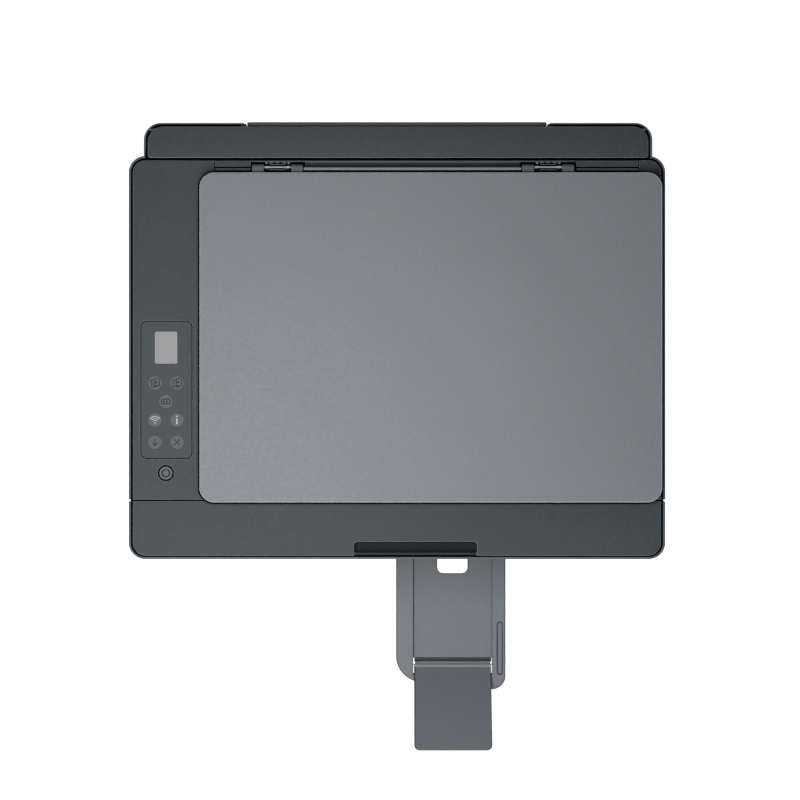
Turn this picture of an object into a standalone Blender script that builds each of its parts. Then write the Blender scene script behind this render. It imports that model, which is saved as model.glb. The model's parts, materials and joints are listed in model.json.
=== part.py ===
"""Tank-type inkjet all-in-one printer: bottom tray, covers, scanner, lid, front door, paper feed and ink system.

Every length is in millimetres and MM turns it into metres. X runs to the right, Y to the rear and Z up.
The helpers take depths measured back from the body's front face; FRONT moves them so that the origin is
at the middle of the whole footprint, tray and flap included. The tray is pulled out and its flap unfolded.
"""

import math

import bmesh
import bpy
from mathutils import Matrix

MM = 0.001

# Body
BODY_HALF = 217.5  # half width of the main body
REAR_HALF = 206.5  # half width of the narrower rear block
REAR_STEP = 326.4  # depth where the main body ends and the rear block goes on
DEPTH = 353.7  # depth of the rear block
SUPPORT_BACK = 354.3  # rear face of the paper support
R_FRONT, R_MAIN, R_REAR = 13.2, 14.0, 14.6  # plan corner radii
WALL = 1.8
FOOT_H = 3.0
TRAY_TOP = 18.0  # top of the bottom tray
RIM_Z = 146.6  # top of the covers' rims
DECK_Z = 147.0  # top of the deck, the door plate and the rear cover
PLATE = 3.0  # deck thickness
GAP = 0.3  # between pieces that touch
SHADOW = 1.5  # open shadow gap between a rim and the plate inside it
INSET = WALL + SHADOW

# Front door
DOOR_BACK = 47.0
DECK_FRONT = 48.3
DOOR_BOTTOM = 122.9
DOOR_AXIS = (38.0, 143.0)
NOTCH = (-34.9, 65.0, 3.2, 14.2)

# Scanner lid
LID = (-160.2, 214.0, 46.2, 313.5)
LID_R = 12.0
LID_Z = (148.4, 157.0)
LID_AXIS = (317.6, 149.5)
HINGES = (-96.7, 122.7)  # centres of the two lid hinges
KNUCKLES = ((-117.3, -107.6), (-85.7, -76.1), (101.3, 111.0), (134.3, 144.1))
GLASS = (-134.0, 184.0, 60.0, 292.0)
WINDOW = (-123.0, 173.0, 68.0, 284.0)

# Rear input
COVER = (-203.0, 203.0, 325.4, 350.6)
COVER_AXIS = (348.4, 145.6)
SUPPORT_HALF = 121.5

# Control strip
PANEL = (-208.0, -166.4, 81.9, 192.7)
LCD = (-196.3, -178.0, 158.4, 184.5)
BUTTON_R = 5.5
BUTTONS = {
    "button_color_copy": (-196.1, 142.9),
    "button_black_copy": (-178.3, 142.9),
    "button_id_copy": (-187.3, 127.8),
    "button_wireless": (-196.1, 112.8),
    "button_info": (-178.3, 112.8),
    "button_resume": (-196.1, 94.8),
    "button_cancel": (-178.3, 94.8),
}
POWER = (-187.3, 69.8)
POWER_R = 5.4
POWER_HOLE = 6.5  # the power button stands in a wider dark ring

# Output tray and flap
TRAY = (-0.6, 90.5, -113.6, 84.0)
TRAY_Z = (23.5, 29.5)
FLAP = (14.5, 78.9)
FLAP_AXIS = (-92.3, 27.6)
FLAP_LEN = 76.4
FLAP_TILT = math.radians(25.0)
SLOT = (-112.0, 112.0, 21.5, 80.0)

# Paper feed
FEED = (122.0, 57.0)
IDLER = (87.0, 57.0)
EJECT = (52.0, 57.0)
MODULE = 1.0
FEED_TEETH, IDLER_TEETH, EJECT_TEETH, PINION_TEETH = 40, 30, 40, 12
GEAR_X = (-201.0, -196.0)
PINION_ANGLE = -36.0

# Carriage
BELT_Y, BELT_Z, PULLEY_R = 121.0, 95.0, 6.0
PULLEYS = (-180.0, 195.0)

FLAP_REACH = FLAP_AXIS[0] - FLAP_LEN * math.cos(FLAP_TILT) - 0.4 * math.sin(FLAP_TILT)
FRONT = -(SUPPORT_BACK + FLAP_REACH) / 2.0  # world Y of the body's front face

for old in list(bpy.data.objects):
    bpy.data.objects.remove(old)


def material(name, rgb, roughness, metallic=0.0, alpha=1.0):
    made = bpy.data.materials.new(name)
    made.use_nodes = True
    shader = made.node_tree.nodes["Principled BSDF"]
    shader.inputs["Base Color"].default_value = (*rgb, 1.0)
    shader.inputs["Roughness"].default_value = roughness
    shader.inputs["Metallic"].default_value = metallic
    shader.inputs["Alpha"].default_value = alpha
    made.diffuse_color = (*rgb, 1.0)
    return made


SHELL = material("shell_plastic", (0.075, 0.088, 0.100), 0.55)
DARK = material("dark_plastic", (0.018, 0.020, 0.023), 0.6)
LIDGREY = material("lid_plastic", (0.235, 0.255, 0.275), 0.5)
TRAYGREY = material("tray_plastic", (0.19, 0.205, 0.22), 0.55)
PANELGREY = material("panel_plastic", (0.085, 0.098, 0.110), 0.45)
SCREEN = material("display_glass", (0.34, 0.34, 0.36), 0.25)
FOAM = material("white_foam", (0.85, 0.85, 0.84), 0.8)
GLASSMAT = material("scanner_glass", (0.75, 0.82, 0.80), 0.05, 0.0, 0.35)
RUBBER = material("rubber", (0.03, 0.03, 0.03), 0.85)
STEEL = material("steel", (0.6, 0.6, 0.6), 0.3, 1.0)
ACETAL = material("acetal", (0.75, 0.75, 0.72), 0.4)
BOARD = material("circuit_board", (0.02, 0.16, 0.07), 0.5)
TANK = material("tank_plastic", (0.55, 0.57, 0.6), 0.2, 0.0, 0.6)
INK = {
    "black": material("cap_black", (0.02, 0.02, 0.02), 0.4),
    "cyan": material("cap_cyan", (0.0, 0.28, 0.6), 0.4),
    "magenta": material("cap_magenta", (0.6, 0.02, 0.25), 0.4),
    "yellow": material("cap_yellow", (0.8, 0.6, 0.02), 0.4),
}


# Shapes: each returns a bmesh in millimetres, depths measured from the body's front face


def arc(cx, cy, r, a0, a1, steps):
    return [
        (
            cx + r * math.cos(math.radians(a0 + (a1 - a0) * i / steps)),
            cy + r * math.sin(math.radians(a0 + (a1 - a0) * i / steps)),
        )
        for i in range(steps + 1)
    ]


def rounded(x0, x1, y0, y1, radii=0.0, steps=5):
    """Counter-clockwise outline; radii run front left, front right, rear right, rear left."""
    if not isinstance(radii, tuple):
        radii = (radii,) * 4
    corners = ((x0, y0, 1, 1, 180), (x1, y0, -1, 1, 270), (x1, y1, -1, -1, 0), (x0, y1, 1, -1, 90))
    points = []
    for (cx, cy, sx, sy, start), r in zip(corners, radii):
        if r <= 0:
            points.append((cx, cy))
        else:
            points += arc(cx + sx * r, cy + sy * r, r, start, start + 90, steps)
    return points


def body_outline(inset, steps=5):
    """The whole body seen from above, drawn in by inset."""
    half, rear, step, deep = (v - inset for v in (BODY_HALF, REAR_HALF, REAR_STEP, DEPTH))
    rf, rm, rr = R_FRONT - inset, R_MAIN - inset, R_REAR - inset
    turn = math.degrees(math.acos(max(0.0, (rear - (half - rm)) / rm)))
    right = arc(half - rf, inset + rf, rf, -90, 0, steps)
    right += arc(half - rm, step - rm, rm, 0, turn, steps)
    right += arc(rear - rr, deep - rr, rr, 0, 90, steps)
    return right + [(-x, y) for x, y in reversed(right)]


def prism(outline, low, high, axis="z"):
    """An outline pushed along an axis: (x, y) outlines go up z, (y, z) ones along x, (x, z) ones along y."""
    place = {
        "z": lambda a, b, h: (a, b, h),
        "x": lambda a, b, h: (h, a, b),
        "y": lambda a, b, h: (a, h, b),
    }[axis]
    return stack([[place(a, b, low) for a, b in outline], [place(a, b, high) for a, b in outline]])


def stack(rings):
    """Rings of equal count joined in order, with a cap at each end."""
    made = bmesh.new()
    rows = [[made.verts.new(p) for p in ring] for ring in rings]
    for below, above in zip(rows, rows[1:]):
        for i in range(len(below)):
            j = (i + 1) % len(below)
            made.faces.new((below[i], below[j], above[j], above[i]))
    made.faces.new(list(reversed(rows[0])))
    made.faces.new(rows[-1])
    bmesh.ops.recalc_face_normals(made, faces=made.faces)
    return made


def box(x0, x1, y0, y1, z0, z1):
    return prism([(x0, y0), (x1, y0), (x1, y1), (x0, y1)], z0, z1)


def slab(area, radii, z0, z1, chamfer=0.8, steps=5):
    """A rounded plate whose top edge is chamfered."""
    x0, x1, y0, y1 = area
    radii = radii if isinstance(radii, tuple) else (radii,) * 4
    top = tuple(max(r - chamfer, 0) if r > chamfer else r for r in radii)
    outer = rounded(x0, x1, y0, y1, radii, steps)
    inner = rounded(x0 + chamfer, x1 - chamfer, y0 + chamfer, y1 - chamfer, top, steps)
    return stack(
        [
            [(x, y, z0) for x, y in outer],
            [(x, y, z1 - chamfer) for x, y in outer],
            [(x, y, z1) for x, y in inner],
        ]
    )


def rod(axis, a, b, r, low, high, steps=16):
    """A round bar: a and b are its centre in the plane across the axis."""
    return prism(arc(a, b, r, 0, 360 - 360 / steps, steps - 1), low, high, axis)


def gear(centre, teeth, phase, bore, x0, x1):
    """A spur gear across X whose tooth tips are trapezoids; phase is the angle of one tooth, from +Y to +Z."""
    r = MODULE * teeth / 2.0
    pitch = 360.0 / teeth
    points = []
    for i in range(teeth):
        for radius, share in ((r - 1.1, -0.33), (r + 0.8, -0.12), (r + 0.8, 0.12), (r - 1.1, 0.33)):
            angle = math.radians(phase + pitch * (i + share))
            points.append((centre[0] + radius * math.cos(angle), centre[1] + radius * math.sin(angle)))
    return prism(points, x0, x1, "x"), rod("x", centre[0], centre[1], bore, x0 - 2, x1 + 2)


# Objects


def put(name, shape, mat, origin=None, smooth=False):
    """Makes an object of a shape. origin, in the shape's own millimetres, becomes the object's origin."""
    origin = origin or (0.0, 0.0, 0.0)
    shape.transform(Matrix.Translation([-v for v in origin]))
    shape.transform(Matrix.Scale(MM, 4))
    mesh = bpy.data.meshes.new(name)
    shape.to_mesh(mesh)
    shape.free()
    if smooth:
        mesh.shade_smooth()
        mesh.set_sharp_from_angle(angle=math.radians(35))
    mesh.materials.append(mat)
    made = bpy.data.objects.new(name, mesh)
    made.location = [origin[0] * MM, (origin[1] + FRONT) * MM, origin[2] * MM]
    bpy.context.scene.collection.objects.link(made)
    return made


def shape_modifier(target, shape, operation):
    helper = put(f"{operation.lower()}_{target.name}_{len(target.modifiers)}", shape, target.data.materials[0])
    helper.hide_render = True
    helper.display_type = "WIRE"
    step = target.modifiers.new(helper.name, "BOOLEAN")
    step.operation = operation
    step.object = helper
    step.solver = "EXACT"


def cut(target, *shapes):
    for shape in shapes:
        shape_modifier(target, shape, "DIFFERENCE")


def fuse(target, *shapes):
    for shape in shapes:
        shape_modifier(target, shape, "UNION")


# Feet and bottom tray
for side, x in (("left", -180.0), ("right", 180.0)):
    for end, y in (("front", 32.0), ("rear", 318.0)):
        put(f"foot_{end}_{side}", rod("z", x, y, 9.0, 0.0, FOOT_H, 20), RUBBER, (x, y, 0.0), smooth=True)

base = put("base_tray", prism(body_outline(0.8, 4), FOOT_H + GAP, TRAY_TOP), DARK)
cut(base, prism(body_outline(3.3, 4), 5.6, 30.0))
frame_side = [(40, 5), (140, 5), (140, 114), (117.8, 114), (117.8, 50), (62, 50), (62, 66), (40, 66)]
frame_low = [(40, 5), (140, 5), (140, 67), (117.8, 67), (117.8, 50), (62, 50), (62, 66), (40, 66)]
fuse(
    base,
    prism(frame_side, -193.0, -190.5, "x"),
    prism(frame_low, 112.5, 115.0, "x"),
    box(209.0, 212.0, 104.0, 128.0, 5.0, 112.0),
    box(-4.0, 2.0, 6.0, 190.0, 5.0, 23.2),
    box(86.0, 92.0, 6.0, 190.0, 5.0, 23.2),
)
cut(
    base,
    rod("x", FEED[0], FEED[1], 5.3, -195.0, 120.0),
    rod("x", EJECT[0], EJECT[1], 3.3, -195.0, 120.0),
)

# Covers: one ring of wall, parted where the real covers meet
for side, sign in (("left", -1.0), ("right", 1.0)):
    cover = put(f"{side}_cover", prism(body_outline(0.0, 6), TRAY_TOP + GAP, RIM_Z), SHELL)
    lo, hi = sorted((sign * 190.0, sign * 230.0))
    near, far = sorted((sign * -230.0, sign * 190.0))
    cut(
        cover,
        prism(body_outline(WALL, 6), 10.0, 160.0),
        box(near, far, -5.0, 360.0, 10.0, 160.0),
        box(lo, hi, -5.0, DECK_FRONT, 10.0, 160.0),
        box(lo, hi, 326.7, 360.0, 10.0, 160.0),
    )
    ledge = sorted((sign * 216.3, sign * 211.5))
    fuse(cover, box(ledge[0], ledge[1], 52.0, 305.0, 141.7, 143.7))

rear = put("rear_panel", prism(body_outline(0.0, 6), TRAY_TOP + GAP, RIM_Z), SHELL)
cut(
    rear,
    prism(body_outline(WALL, 6), 10.0, 160.0),
    box(-230.0, 230.0, -5.0, 327.0, 10.0, 160.0),
)
fuse(rear, box(-127.0, 127.0, 348.8, 351.2, TRAY_TOP + GAP, 141.0))
fuse(rear, box(-127.0, -122.1, 350.4, 353.0, TRAY_TOP + GAP, 141.0), box(122.1, 127.0, 350.4, 353.0, TRAY_TOP + GAP, 141.0))
fuse(rear, box(-123.0, 123.0, 350.4, 353.0, TRAY_TOP + GAP, 21.5))
cut(
    rear,
    box(-122.1, 122.1, 351.2, 356.0, 21.9, 160.0),
    box(-178.5, -155.5, 345.0, 360.0, 31.5, 46.5),
    box(143.5, 157.5, 345.0, 360.0, 31.0, 43.8),
    rod("x", COVER_AXIS[0], COVER_AXIS[1], 0.9, -201.9, -198.0, 12),
    rod("x", COVER_AXIS[0], COVER_AXIS[1], 0.9, 198.0, 201.9, 12),
)

front = put("front_panel", prism(rounded(-BODY_HALF, BODY_HALF, 0.0, 48.0, (R_FRONT, R_FRONT, 0, 0), 6), TRAY_TOP + GAP, DOOR_BOTTOM - GAP), SHELL)
cut(
    front,
    prism(rounded(2.2 - BODY_HALF, BODY_HALF - 2.2, 2.2, 60.0, (R_FRONT - 2.2, R_FRONT - 2.2, 0, 0), 6), 10.0, 140.0),
    prism(rounded(SLOT[0], SLOT[1], SLOT[2], SLOT[3], 4.0, 3), -5.0, 5.0, "y"),
    prism(rounded(127.5, 206.5, 32.0, 92.0, 4.0, 3), -5.0, 5.0, "y"),
)
for sign in (-1.0, 1.0):
    a, b = sorted((sign * 210.6, sign * 213.2))
    c, d = sorted((sign * 210.6, sign * 216.2))
    fuse(
        front,
        box(c, d, 30.0, 46.0, 104.0, 119.0),
        box(a, b, DOOR_AXIS[0] - 2.9, DOOR_AXIS[0] + 0.8, 117.0, DOOR_AXIS[1]),
        rod("x", DOOR_AXIS[0], DOOR_AXIS[1], 2.9, a, b, 16),
    )
    cut(front, rod("x", DOOR_AXIS[0], DOOR_AXIS[1], 1.5, a - 1, b + 1, 12))

# Deck with the control strip and the scanner window
deck = put("top_deck", prism(rounded(INSET - BODY_HALF, BODY_HALF - INSET, DECK_FRONT, 323.3, (0, 0, R_MAIN - INSET, R_MAIN - INSET)), DECK_Z - PLATE, DECK_Z), SHELL)
fuse(
    deck,
    box(-147.5, -119.5, 318.3, 322.9, 146.0, 149.0),
    box(-147.5, -119.5, 315.2, 317.0, 146.0, 148.6),
    box(146.5, 195.5, 318.3, 322.9, 146.0, 149.0),
    box(146.5, 195.5, 315.2, 317.0, 146.0, 148.6),
)
cut(
    deck,
    box(WINDOW[0], WINDOW[1], WINDOW[2], WINDOW[3], 140.0, 150.0),
    prism(rounded(PANEL[0] - 0.5, PANEL[1] + 0.5, PANEL[2] - 0.5, PANEL[3] + 0.5, 4.2, 4), 140.0, 150.0),
    rod("z", POWER[0], POWER[1], POWER_HOLE, 140.0, 150.0, 28),
    box(HINGES[0] - 22.3, HINGES[0] + 22.3, 312.5, 322.3, 140.0, 150.0),
    box(HINGES[1] - 23.0, HINGES[1] + 23.0, 312.5, 322.3, 140.0, 150.0),
)

panel = put("control_panel", prism(rounded(PANEL[0], PANEL[1], PANEL[2], PANEL[3], 3.7, 4), 142.4, 147.1), PANELGREY)
fuse(panel, box(PANEL[0] - 2.5, PANEL[1] + 2.5, PANEL[2] - 2.5, PANEL[3] + 2.5, 142.2, 143.6))
cut(panel, prism(rounded(LCD[0] - 0.3, LCD[1] + 0.3, LCD[2] - 0.3, LCD[3] + 0.3, 1.2, 2), 138.0, 150.0))
put("lcd_display", prism(rounded(LCD[0], LCD[1], LCD[2], LCD[3], 1.0, 2), 142.3, 146.7), SCREEN)
for name, (x, y) in BUTTONS.items():
    cut(panel, rod("z", x, y, BUTTON_R + 0.3, 138.0, 150.0, 24))
    put(name, rod("z", x, y, BUTTON_R, 141.5, 147.2, 24), PANELGREY, (x, y, 147.2), smooth=True)
put("button_power", rod("z", POWER[0], POWER[1], POWER_R, 141.0, 147.3, 28), DARK, (POWER[0], POWER[1], 147.3), smooth=True)

# Scanner under the deck
tub = put("scanner_tub", box(-138.0, 188.0, 56.0, 296.0, 118.0, 143.7), DARK)
cut(
    tub,
    box(-131.0, 181.0, 63.0, 289.0, 120.0, 150.0),
    box(GLASS[0] - 0.4, GLASS[1] + 0.4, GLASS[2] - 0.4, GLASS[3] + 0.4, 141.0, 150.0),
)
put("scanner_glass", box(GLASS[0], GLASS[1], GLASS[2], GLASS[3], 141.3, 143.5), GLASSMAT)
put("scan_bar", prism([(-128, 124), (-110, 124), (-110, 137), (-113, 139.8), (-125, 139.8), (-128, 137)], 66.0, 286.0, "y"), DARK, (-119.0, 176.0, 124.0))

# Scanner lid on two hinge posts that lift for a thick book
lid = put("scanner_lid", slab(LID, LID_R, LID_Z[0], LID_Z[1], 0.9, 6), LIDGREY, (27.0, LID_AXIS[0], LID_AXIS[1]))
cut(lid, box(LID[0] + 12, LID[1] - 12, LID[2] + 12, LID[3] - 12, 140.0, 154.5))
for x0, x1 in KNUCKLES:
    fuse(lid, prism([(312.5, 148.6), (315.5, 146.8), (319.6, 146.8), (320.4, 148.0), (320.4, 151.4), (318.6, 152.6), (312.5, 152.6)], x0, x1, "x"))
fuse(lid, prism([(312.0, 149.2), (319.1, 149.2), (319.1, 153.4), (315.3, 153.4), (315.3, 150.8), (312.0, 150.8)], -74.0, 99.6, "x"))
cut(lid, rod("x", LID_AXIS[0], LID_AXIS[1], 1.5, -119.0, -75.0, 12), rod("x", LID_AXIS[0], LID_AXIS[1], 1.5, 100.3, 146.0, 12))
put("lid_pad", box(-121.0, 171.0, 70.0, 282.0, 144.4, 154.2), FOAM, (27.0, LID_AXIS[0], LID_AXIS[1]))
for side, x in (("left", HINGES[0]), ("right", HINGES[1])):
    near = 10.2 if side == "left" else 10.9
    reach = 20.0 if side == "left" else 20.8
    post = put(f"lid_hinge_{side}", box(x - near, x + near, 314.6, 320.6, 131.5, LID_AXIS[1]), DARK, (x, LID_AXIS[0], LID_AXIS[1]))
    fuse(post, rod("x", LID_AXIS[0], LID_AXIS[1], 1.2, x - reach, x + reach, 12))

# Front door: a cap with its own rim, an inset plate and a finger scoop
door = put(
    "front_door",
    prism(rounded(-BODY_HALF, BODY_HALF, 0.0, DOOR_BACK, (R_FRONT, R_FRONT, 0, 0), 6), DOOR_BOTTOM, RIM_Z),
    SHELL,
    (0.0, DOOR_AXIS[0], DOOR_AXIS[1]),
)
inside = rounded(WALL - BODY_HALF, BODY_HALF - WALL, WALL, 60.0, (R_FRONT - WALL, R_FRONT - WALL, 0, 0), 6)
cut(door, prism(inside, 110.0, 142.5), prism(inside, 144.0, 160.0))
fuse(door, box(NOTCH[0] - 2, NOTCH[1] + 2, 1.0, NOTCH[3] + 2, 134.5, 143.0))
cut(
    door,
    box(NOTCH[0], NOTCH[1], NOTCH[2] + 1.9, NOTCH[3], 136.5, 160.0),
    prism([(37.5, 121.0), (48.0, 121.0), (48.0, 125.6), (37.5, 122.8)], -230.0, 230.0, "x"),
)
for sign in (-1.0, 1.0):
    a, b = sorted((sign * 209.5, sign * 214.4))
    cut(door, box(a, b, 28.0, 60.0, 130.0, 150.0))
    a, b = sorted((sign * 209.9, sign * 216.4))
    fuse(door, rod("x", DOOR_AXIS[0], DOOR_AXIS[1], 1.2, a, b, 12))
plate = put(
    "front_door_plate",
    slab((INSET - BODY_HALF, BODY_HALF - INSET, INSET - 0.1, DOOR_BACK), (10.5, 10.5, 0.05, 0.05), 144.3, DECK_Z, 0.5, 6),
    SHELL,
    (0.0, DOOR_AXIS[0], DOOR_AXIS[1]),
)
cut(plate, prism(rounded(NOTCH[0], NOTCH[1], -2.0, NOTCH[3], (0, 0, 3.0, 3.0), 3), 140.0, 150.0))
for sign in (-1.0, 1.0):
    a, b = sorted((sign * 209.2, sign * 220.0))
    cut(plate, box(a, b, 33.2, 42.8, 140.0, 146.2))

# Rear input: cover, ramp, width guides and the sliding paper support
cover = put("input_cover", slab(COVER, (2.0, 2.0, 11.3, 11.3), 144.5, DECK_Z, 0.5, 5), SHELL, (0.0, COVER_AXIS[0], COVER_AXIS[1]))
fuse(
    cover,
    rod("x", COVER_AXIS[0], COVER_AXIS[1], 0.6, -201.6, -196.0, 12),
    rod("x", COVER_AXIS[0], COVER_AXIS[1], 0.6, 196.0, 201.6, 12),
)
put("paper_support", prism(rounded(-SUPPORT_HALF, SUPPORT_HALF, 22.3, 146.8, (2, 2, 5, 5), 3), 351.6, SUPPORT_BACK, "y"), SHELL, (0.0, 353.0, 22.3))

ramp = put("paper_ramp", prism([(297.5, 52.0), (300.0, 52.0), (347.6, 140.0), (344.8, 140.0)], -117.9, 117.9, "x"), DARK)
cheek = [(292.0, 6.0), (348.0, 6.0), (348.0, 140.5), (326.0, 140.5), (292.0, 76.0)]
fuse(ramp, prism(cheek, -118.2, -115.2, "x"), prism(cheek, 115.2, 118.2, "x"))
blade = [(343.0, 137.0), (330.6, 137.0), (316.9, 112.0), (329.6, 112.0)]
put("paper_guide_left", prism(blade, -113.0, -110.0, "x"), TRAYGREY, (-110.0, 330.0, 112.0))
put("paper_guide_right", prism(blade, 110.0, 113.0, "x"), TRAYGREY, (110.0, 330.0, 112.0))

# Output tray with its folding flap
x0, x1, y0, y1 = TRAY
outline = [
    (x0 + 41.8 * (1 - math.cos(math.radians(a))), y0 + 33.5 * (1 - math.sin(math.radians(a))))
    for a in range(0, 91, 9)
]
outline += arc(x1 - 15.7, y0 + 15.7, 15.7, 270, 360, 7) + [(x1, y1), (x0, y1)]
tray = put("output_tray", prism(outline, TRAY_Z[0], TRAY_Z[1]), TRAYGREY, (45.0, y1, TRAY_Z[0]))
cut(
    tray,
    box(FLAP[0] - 1.0, FLAP[1] + 1.0, -86.9, -13.0, 25.7, 40.0),
    box(FLAP[0] - 1.0, FLAP[1] + 1.0, -101.0, -86.8, 10.0, 40.0),
    prism(rounded(33.5, 59.8, -16.2, 10.0, 5.0, 4), 10.0, 40.0),
    prism(rounded(83.4, 88.4, -100.9, -55.8, 2.4, 4), 28.5, 40.0),
    rod("x", FLAP_AXIS[0], FLAP_AXIS[1], 1.2, FLAP[0] - 3.0, FLAP[1] + 3.0, 12),
)
flat = [(0.0, -1.1), (0.0, 1.1), (-FLAP_LEN + 2, 1.1), (-FLAP_LEN, 0.4), (-FLAP_LEN, -0.4), (-FLAP_LEN + 2, -1.1)]


def tilt(a, b):
    """Turns a flap point, drawn flat and pointing forwards, up to the angle it rests at."""
    c, s = math.cos(FLAP_TILT), math.sin(FLAP_TILT)
    return FLAP_AXIS[0] + a * c + b * s, FLAP_AXIS[1] - a * s + b * c


flap = put("tray_flap", prism([tilt(a, b) for a, b in flat], FLAP[0], FLAP[1], "x"), TRAYGREY, (46.7, FLAP_AXIS[0], FLAP_AXIS[1]))
fuse(
    flap,
    rod("x", FLAP_AXIS[0], FLAP_AXIS[1], 1.6, FLAP[0], FLAP[1], 12),
    rod("x", FLAP_AXIS[0], FLAP_AXIS[1], 0.9, FLAP[0] - 2.6, FLAP[1] + 2.6, 12),
)

# Paper feed: rollers, gear train and motor
put("feed_roller", rod("x", FEED[0], FEED[1], 5.0, -202.0, 118.0, 16), RUBBER, (0.0, FEED[0], FEED[1]), smooth=True)
eject = put("eject_roller", rod("x", EJECT[0], EJECT[1], 3.0, -202.0, 118.0, 12), DARK, (0.0, EJECT[0], EJECT[1]), smooth=True)
for x in (-90.0, -30.0, 30.0, 90.0):
    fuse(eject, rod("x", EJECT[0], EJECT[1], 6.0, x - 4, x + 4, 16))
PINION = (
    FEED[0] + 26.0 * math.cos(math.radians(PINION_ANGLE)),
    FEED[1] + 26.0 * math.sin(math.radians(PINION_ANGLE)),
)
for name, centre, teeth, phase, bore in (
    ("feed_gear", FEED, FEED_TEETH, 0.0, 5.3),
    ("idler_gear", IDLER, IDLER_TEETH, 6.0, 2.3),
    ("eject_gear", EJECT, EJECT_TEETH, 0.0, 3.3),
    ("motor_pinion", PINION, PINION_TEETH, 180.0 + PINION_ANGLE - 15.0, 1.3),
):
    body, hole = gear(centre, teeth, phase, bore, *GEAR_X)
    made = put(name, body, ACETAL, (GEAR_X[0], centre[0], centre[1]))
    cut(made, hole)
fuse(base, rod("x", IDLER[0], IDLER[1], 2.0, -202.0, -190.6, 12), box(-193.0, -190.5, 84.0, 90.0, 45.0, 61.0))
motor = put("feed_motor", rod("x", PINION[0], PINION[1], 13.0, -190.0, -160.0, 20), STEEL, (-190.0, PINION[0], PINION[1]), smooth=True)
fuse(motor, rod("x", PINION[0], PINION[1], 1.0, -202.0, -189.0, 10))
cut(base, rod("x", PINION[0], PINION[1], 2.0, -195.0, -189.0, 12), box(-196.0, -188.0, PINION[0] + 6.0, 145.0, 5.7, 36.0))
fuse(base, box(-186.0, -164.0, PINION[0] - 8.0, PINION[0] + 8.0, 5.0, PINION[1] - 13.8))
put("platen", prism([(-110, 5.9), (-106, 5.9), (-106, 46), (106, 46), (106, 5.9), (110, 5.9), (110, 52), (-110, 52)], 64.0, 112.0, "y"), DARK)

# Carriage, its beam and its belt
put("carriage_beam", prism([(116.0, 64.0), (117.4, 64.0), (117.4, 114.0), (106.0, 114.0), (106.0, 112.8), (116.0, 112.8)], -190.2, 208.7, "x"), STEEL)
carriage = put("carriage", box(118.0, 203.0, 66.0, 114.5, 60.0, 111.0), DARK, (160.5, 90.0, 60.0))
cut(
    carriage,
    box(105.0, 215.0, 104.0, 120.0, 109.0, 120.0),
    box(123.0, 158.4, 70.0, 101.0, 63.0, 120.0),
    box(162.6, 198.0, 70.0, 101.0, 63.0, 120.0),
    box(130.0, 151.4, 76.0, 95.0, 50.0, 70.0),
    box(169.6, 191.0, 76.0, 95.0, 50.0, 70.0),
)
for name, x, mat in (("printhead_black", 140.7, DARK), ("printhead_color", 180.3, TRAYGREY)):
    head = put(name, box(x - 17.3, x + 17.3, 70.4, 100.6, 63.4, 105.0), mat, (x, 85.5, 63.4))
    fuse(head, box(x - 10.0, x + 10.0, 76.6, 94.4, 59.0, 64.0))

loop = [(x, z) for x, z in arc(PULLEYS[1], BELT_Z, PULLEY_R + 1.6, -90, 90, 10) + arc(PULLEYS[0], BELT_Z, PULLEY_R + 1.6, 90, 270, 10)]
hollow = [(x, z) for x, z in arc(PULLEYS[1], BELT_Z, PULLEY_R + 0.4, -90, 90, 10) + arc(PULLEYS[0], BELT_Z, PULLEY_R + 0.4, 90, 270, 10)]
belt = put("drive_belt", prism(loop, BELT_Y - 2.3, BELT_Y + 2.3, "y"), RUBBER)
cut(belt, prism(hollow, BELT_Y - 6.0, BELT_Y + 6.0, "y"))
for name, x in (("idler_pulley", PULLEYS[0]), ("motor_pulley", PULLEYS[1])):
    made = put(name, rod("y", x, BELT_Z, PULLEY_R, BELT_Y - 2.6, BELT_Y + 2.6, 20), ACETAL, (x, BELT_Y, BELT_Z), smooth=True)
    cut(made, rod("y", x, BELT_Z, 1.5, BELT_Y - 8.0, BELT_Y + 8.0, 12))
drive = put("carriage_motor", rod("y", PULLEYS[1], BELT_Z, 13.0, 127.0, 152.0, 20), STEEL, (PULLEYS[1], 127.0, BELT_Z), smooth=True)
fuse(drive, rod("y", PULLEYS[1], BELT_Z, 1.2, 118.0, 128.0, 10))
fuse(
    base,
    box(-190.6, -170.0, 125.5, 128.5, BELT_Z - 8.0, BELT_Z + 8.0),
    rod("y", PULLEYS[0], BELT_Z, 1.2, 118.0, 126.5, 10),
    box(180.0, 209.8, 129.0, 150.0, 5.0, BELT_Z - 13.6),
)

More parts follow.
